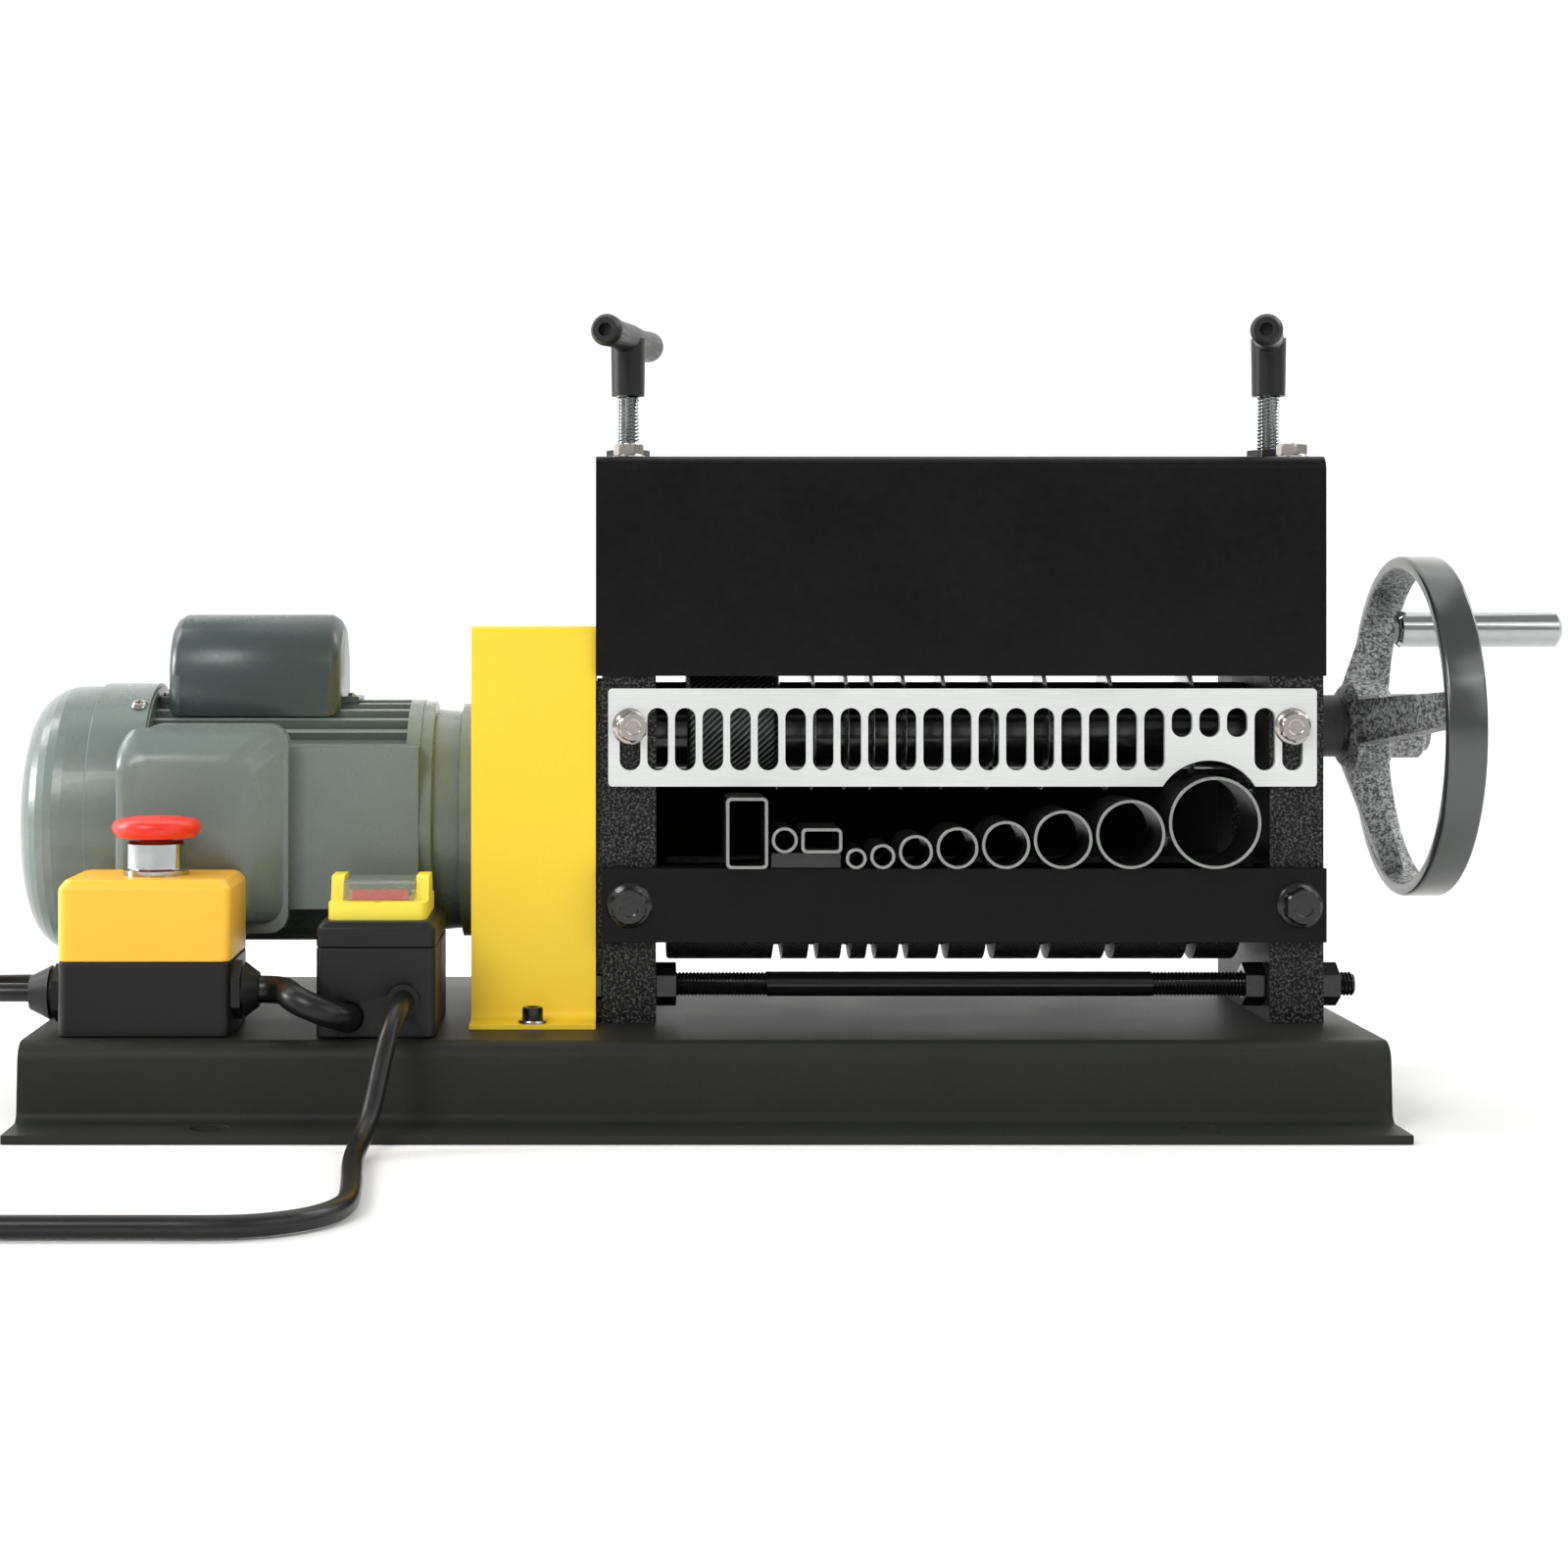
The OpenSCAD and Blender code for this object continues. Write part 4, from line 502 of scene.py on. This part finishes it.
# tree that sets out one item at each point, turned by the point's own angles
def setting_out():
    tree = bpy.data.node_groups.new("set_out", "GeometryNodeTree")
    for name, kind in (("Geometry", "NodeSocketGeometry"), ("Item", "NodeSocketObject"),
                       ("Size", "NodeSocketFloat"), ("Finish", "NodeSocketMaterial")):
        tree.interface.new_socket(name, in_out="INPUT", socket_type=kind)
    tree.interface.new_socket("Geometry", in_out="OUTPUT", socket_type="NodeSocketGeometry")
    given = add(tree, "NodeGroupInput").outputs
    item = add(tree, "GeometryNodeObjectInfo", {"Object": given["Item"]})
    angles = add(tree, "GeometryNodeInputNamedAttribute", {"Name": "turn"}, data_type="FLOAT_VECTOR")
    turn = add(tree, "FunctionNodeEulerToRotation", {0: angles.outputs["Attribute"]})
    placed = add(tree, "GeometryNodeInstanceOnPoints", {"Points": given["Geometry"],
                 "Instance": item.outputs["Geometry"], "Rotation": turn.outputs[0], "Scale": given["Size"]})
    real = add(tree, "GeometryNodeRealizeInstances", {"Geometry": placed.outputs[0]})
    done = add(tree, "GeometryNodeSetMaterial", {"Geometry": real.outputs[0], "Material": given["Finish"]})
    add(tree, "NodeGroupOutput", {"Geometry": done.outputs[0]})
    return tree


set_out = setting_out()


# plain mesh of one item set out at points given in millimetres with their turns in degrees
def repeated(name, item_mesh, spots, material, size=1.0):
    item = bpy.data.objects.new(name + "_item", item_mesh)
    points = bpy.data.meshes.new(name + "_points")
    points.from_pydata([Vector(p) * MM for p, t in spots], [], [])
    turn = points.attributes.new("turn", "FLOAT_VECTOR", "POINT")
    for value, (p, t) in zip(turn.data, spots):
        value.vector = [math.radians(v) for v in t]
    holder = bpy.data.objects.new(name + "_points", points)
    scene.collection.objects.link(item)
    scene.collection.objects.link(holder)
    layout = holder.modifiers.new("layout", "NODES")
    layout.node_group = set_out
    keys = {s.name: s.identifier for s in set_out.interface.items_tree if s.in_out == "INPUT"}
    layout[keys["Item"]] = item
    layout[keys["Size"]] = size
    layout[keys["Finish"]] = material
    view = bpy.context.evaluated_depsgraph_get()
    mesh = bpy.data.meshes.new_from_object(holder.evaluated_get(view))
    mesh.name = name
    for spent in (holder, item):
        bpy.data.objects.remove(spent)
    return mesh


# sides of a small turned piece, and the crease that keeps its facets crisp
HEAD_SIDES, HEAD_CREASE = 36, 15


# solid of revolution about Z as rings of radius and height in millimetres
def turned(profile):
    angles = [2 * math.pi * k / HEAD_SIDES for k in range(HEAD_SIDES)]
    return [[(r * math.cos(a), r * math.sin(a), h) for a in angles] for r, h in profile]


# distance from the middle to the flats of a hexagon, along an angle
def hexagon(half, a):
    return half / math.cos((a + math.pi / 6) % (math.pi / 3) - math.pi / 6)


# flange bolt head: dished flange, six flats, and a turned chamfer on the corners
def bolt_head(name, d, af):
    rings = turned([(1.1 * d, 0), (1.1 * d, 0.7), (1.02 * d, 1.3), (0.86 * d, 1.9)])
    corner = af / 2 / math.cos(math.radians(30))
    high = 1.8 + 0.7 * d
    for h, limit in ((2.2, corner), (high - 1.2, corner), (high - 0.5, corner * 0.965), (high, af / 2 * 0.98),
                     (high, af / 2 * 0.6), (high - 0.3, af / 2 * 0.5)):
        ring = []
        for k in range(HEAD_SIDES):
            a = 2 * math.pi * k / HEAD_SIDES
            r = min(hexagon(af / 2, a), limit)
            ring.append((r * math.cos(a), r * math.sin(a), h))
        rings.append(ring)
    return skin(name, rings, HEAD_CREASE)


bright_spots = [((-33.5, -63, 182.7), (90, 0, 12)), ((284.3, -63, 182.7), (90, 0, 0)),
                ((-34, -33, 313), (0, 0, 20)), ((291.5, -33, 313), (0, 0, 5)),
                ((-34, 52, 184), (-90, 0, 0)), ((287, 52, 184), (-90, 0, 0))]
piece("bright_flange_bolts", repeated("bright_flange_bolts", bolt_head("bright_head", 8, 13), bright_spots,
      bright_zinc), bright_zinc, "frame", ("bright_bolts",))
dark_spots = [((-34, -66, 97.25), (90, 0, 0)), ((287, -66, 97.25), (90, 0, 0))]
piece("black_flange_bolts", repeated("black_flange_bolts", bolt_head("black_head", 10, 16), dark_spots,
      black_oxide), black_oxide, "frame", ("bar_bolts",))


# screw head turned to a profile, with a recess: six flats, or a cross
def screw_head(name, profile, recess, deep, cross):
    rings = turned(profile)
    top = profile[-1][1]
    for h in (top, top - deep):
        ring = []
        for k in range(HEAD_SIDES):
            a = 2 * math.pi * k / HEAD_SIDES
            if cross:
                r = min(recess, 0.25 * recess / max(min(abs(math.sin(a)), abs(math.cos(a))), 0.01))
            else:
                r = hexagon(recess, a)
            ring.append((r * math.cos(a), r * math.sin(a), h))
        rings.append(ring)
    return skin(name, rings, HEAD_CREASE)


# socket screws on their washers at the flanges of the drive guard, and pan heads on the motor and the bezel
MOTOR_Y, MOTOR_Z = 38.807, 131.0
guard_spots = [((-80, -72, 42), (0, 0, 0)), ((-80, 91, 42), (0, 0, 20))]
washer = skin("washer_item", turned([(7, 0), (7, 1.2), (6.7, 1.6), (5.2, 1.6)]))
piece("guard_washers", repeated("guard_washers", washer, guard_spots, bright_zinc), bright_zinc, "frame",
      ("panel_screws",))
socket_head = screw_head("socket_item", [(5, 1.6), (5, 7.0), (4.6, 7.6)], 2.5, 3.3, False)
piece("guard_screws", repeated("guard_screws", socket_head, guard_spots, black_oxide), black_oxide, "frame",
      ("panel_screws",))
pan_head = screw_head("pan_item", [(4, 0), (4, 0.9), (3.4, 1.7), (2.4, 2.2)], 2.0, 1.2, True)
cowl_spots = []
for a in (32, 152, 272):
    s, c = math.sin(math.radians(a)), math.cos(math.radians(a))
    cowl_spots.append(((-280, MOTOR_Y - 70.5 * s, MOTOR_Z + 70.5 * c), (a, 0, 0)))
piece("cowl_screws", repeated("cowl_screws", pan_head, cowl_spots, bright_zinc), bright_zinc, "frame",
      ("panel_screws",))
small_spots = [((-270.4, MOTOR_Y - 8, 195), (0, 0, 15)), ((-175.5, MOTOR_Y - 8, 195), (0, 0, 40)),
               ((-151.75, -96, 100), (0, 0, 30)), ((-151.75, -44, 100), (0, 0, 10))]
pan_small = screw_head("small_pan_item", [(2.4, 0), (2.4, 0.8), (2.0, 1.5), (1.5, 1.8)], 1.3, 0.9, True)
piece("small_screws", repeated("small_screws", pan_small, small_spots, bright_zinc), bright_zinc, "frame",
      ("panel_screws",))

# cooling fan behind the slots of the fan cover
fan_blade = skin("fan_blade_item", [[(x + 0.16 * (r - 15), -1.0, r), (x + 12, -1.0, r), (x + 12, 1.0, r),
                                     (x + 0.16 * (r - 15), 1.0, r)] for x, r in ((-6, 12), (-6, 30), (-6, 55))])
fan_spots = [((-295, MOTOR_Y, MOTOR_Z), (45 * k, 0, 0)) for k in range(8)]
fan_mesh = repeated("fan_blades", fan_blade, fan_spots, black_abs)
piece("fan_blades", fan_mesh, black_abs, "motor_rotor")

# tie round the coil of the mains lead
tie_ring = []
for k in range(40):
    a = 2 * math.pi * k / 40
    c, s = math.cos(a), math.sin(a)
    tie_ring.append((math.copysign(abs(c) ** 0.35, c), math.copysign(abs(s) ** 0.5, s)))
tie_rings = [[(coil_x - 49 + (15.4 + t) * u, coil_y + w, 9.7 + (9.1 + t) * v) for u, v in tie_ring]
             for w, t in ((-3, -0.6), (-3, 0.4), (3, 0.4), (3, -0.6))]
coil_tie = piece("coil_tie", skin("coil_tie", tie_rings), black_abs, "frame")

# edges that a tool, a bend or a mould has rounded
for node, material, radius in (
        ("base_channel", base_powder, 0.5), ("left_cheek", wrinkle_black, 1.0),
        ("right_cheek", wrinkle_black, 1.0), ("top_cover", satin_black, 0.4),
        ("front_guard", brushed_sheet, 0.4), ("front_bar", satin_black, 0.8),
        ("rear_hood", satin_black, 0.4), ("drive_guard", yellow_powder, 0.5), ("lock_nuts", black_oxide, 0.7),
        ("tie_rod_nuts", black_oxide, 0.7), ("deck_bolts", black_oxide, 0.6), ("flat_guides", cut_guides, 0.35),
        ("round_guides", cut_guides, 0.3), ("guide_rail", black_oxide, 0.4), ("stop_box_base", black_abs, 1.0),
        ("stop_box_lid", yellow_abs, 1.6), ("switch_box", black_abs, 1.0), ("switch_lid", black_abs, 1.0),
        ("switch_bezel", lemon_abs, 0.8), ("capacitor_cover", enamel_painted_shade, 1.0),
        ("terminal_box", motor_enamel, 1.0), ("motor_feet", motor_enamel, 1.0), ("handwheel", wheel_iron, 1.5),
        ("bearing_blocks", sand_cast, 0.8), ("start_button", green_abs, 0.8), ("stop_button", red_abs, 0.8),
        ("left_t_handle", black_abs, 0.6), ("right_t_handle", black_abs, 0.6)):
    broken_edges(node, material, radius)

for node, material in (
        ("roller_bushes", bronze), ("motor_stator", motor_enamel),
        ("motor_fan_cover", motor_enamel), ("motor_gear_head", motor_enamel), ("stop_collar", chrome),
        ("cable_glands", black_abs), ("switch_window", film),
        ("feed_roller", knurl_feed), ("feed_shaft", turned_steel),
        ("drive_gear", gear_steel), ("motor_shaft", turned_steel), ("motor_pinion", gear_steel),
        ("blade_shaft", turned_steel), ("blades", ground_steel), ("blade_spacers", black_oxide),
        ("knurl_roller", knurl_small), ("crank_pin", turned_steel), ("crank_grip", chrome),
        ("stop_plunger", red_abs), ("stop_cap", red_abs)):
    dress(node, material)

# black PVC plug body with brass pins
plug_pvc = surface("black_pvc_brass_pins", "#1A1A1A", "#242424", 0.42, 1.0, 0.02,
                   bare=(0, (coil_x - 98.2) * MM, "#B8934A"))
plug = broken_edges("mains_plug", plug_pvc, 0.5)

# pale floor that turns up into a backdrop
FLOOR_REACH, FLOOR_BACK, TURN_R, WALL_TOP = 40.0, 1.6, 1.2, 5.0
sweep = [(-FLOOR_REACH, 0.0), (FLOOR_BACK, 0.0)]
for a in range(10, 91, 10):
    s, c = math.sin(math.radians(a)), math.cos(math.radians(a))
    sweep.append((FLOOR_BACK + TURN_R * s, TURN_R - TURN_R * c))
sweep.append((FLOOR_BACK + TURN_R, WALL_TOP))
floor_mesh = bpy.data.meshes.new("floor")
floor_mesh.from_pydata([(x, y, z - 0.0002) for y, z in sweep
                        for x in (-FLOOR_REACH, FLOOR_REACH)], [],
                       [(2 * i, 2 * i + 1, 2 * i + 3, 2 * i + 2) for i in range(len(sweep) - 1)])
for face in floor_mesh.polygons:
    face.use_smooth = True
floor = bpy.data.objects.new("floor", floor_mesh)
scene.collection.objects.link(floor)
floor_paper, tree, shader, place = finish("pale_paper")
shader.inputs["Base Color"].default_value = paint("#F2F2F1")
shader.inputs["Roughness"].default_value = 0.8
floor_mesh.materials.append(floor_paper)

# soft studio light on the object, and lamps turned away from it for the backdrop and the far floor
sky = bpy.data.worlds.new("studio")
scene.world = sky
sky.use_nodes = True
tree = sky.node_tree
tree.nodes.clear()
glow = add(tree, "ShaderNodeBackground", {"Color": (1, 1, 1, 1), "Strength": 0.42})
add(tree, "ShaderNodeOutputWorld", {"Surface": glow.outputs[0]})
for name, spot, aim, width, power in (("key", (-1.2, -1.9, 1.6), (0, 0, 0.15), 0.9, 23.5),
                                      ("fill", (1.7, -1.5, 1.2), (0.1, 0, 0.15), 1.6, 9.5),
                                      ("left", (-1.9, 0.1, 0.6), (-0.25, 0.05, 0.13), 0.45, 19),
                                      ("top", (0.2, 0.7, 2.2), (0, 0, 0.1), 1.8, 12),
                                      ("backdrop_left", (-2.6, 1.0, 2.6), (-0.6, 2.7, 1.0), 1.5, 60),
                                      ("backdrop_right", (2.6, 1.0, 2.6), (0.6, 2.7, 1.0), 1.5, 60),
                                      ("far_left", (-6.5, 0.5, 3.0), (-6.2, 2.4, 0.6), 2.5, 95),
                                      ("far_right", (6.5, 0.5, 3.0), (6.2, 2.4, 0.6), 2.5, 95),
                                      ("floor_left", (-3.0, -4.5, 3.2), (-3.6, -5.8, 0.0), 3.0, 95),
                                      ("floor_right", (3.0, -4.5, 3.2), (3.6, -5.8, 0.0), 3.0, 95)):
    lamp = bpy.data.lights.new(name, "AREA")
    lamp.size = width
    lamp.energy = power
    lamp_object = bpy.data.objects.new(name, lamp)
    lamp_object.location = spot
    lamp_object.rotation_euler = (Vector(aim) - Vector(spot)).to_track_quat("-Z", "Y").to_euler()
    scene.collection.objects.link(lamp_object)
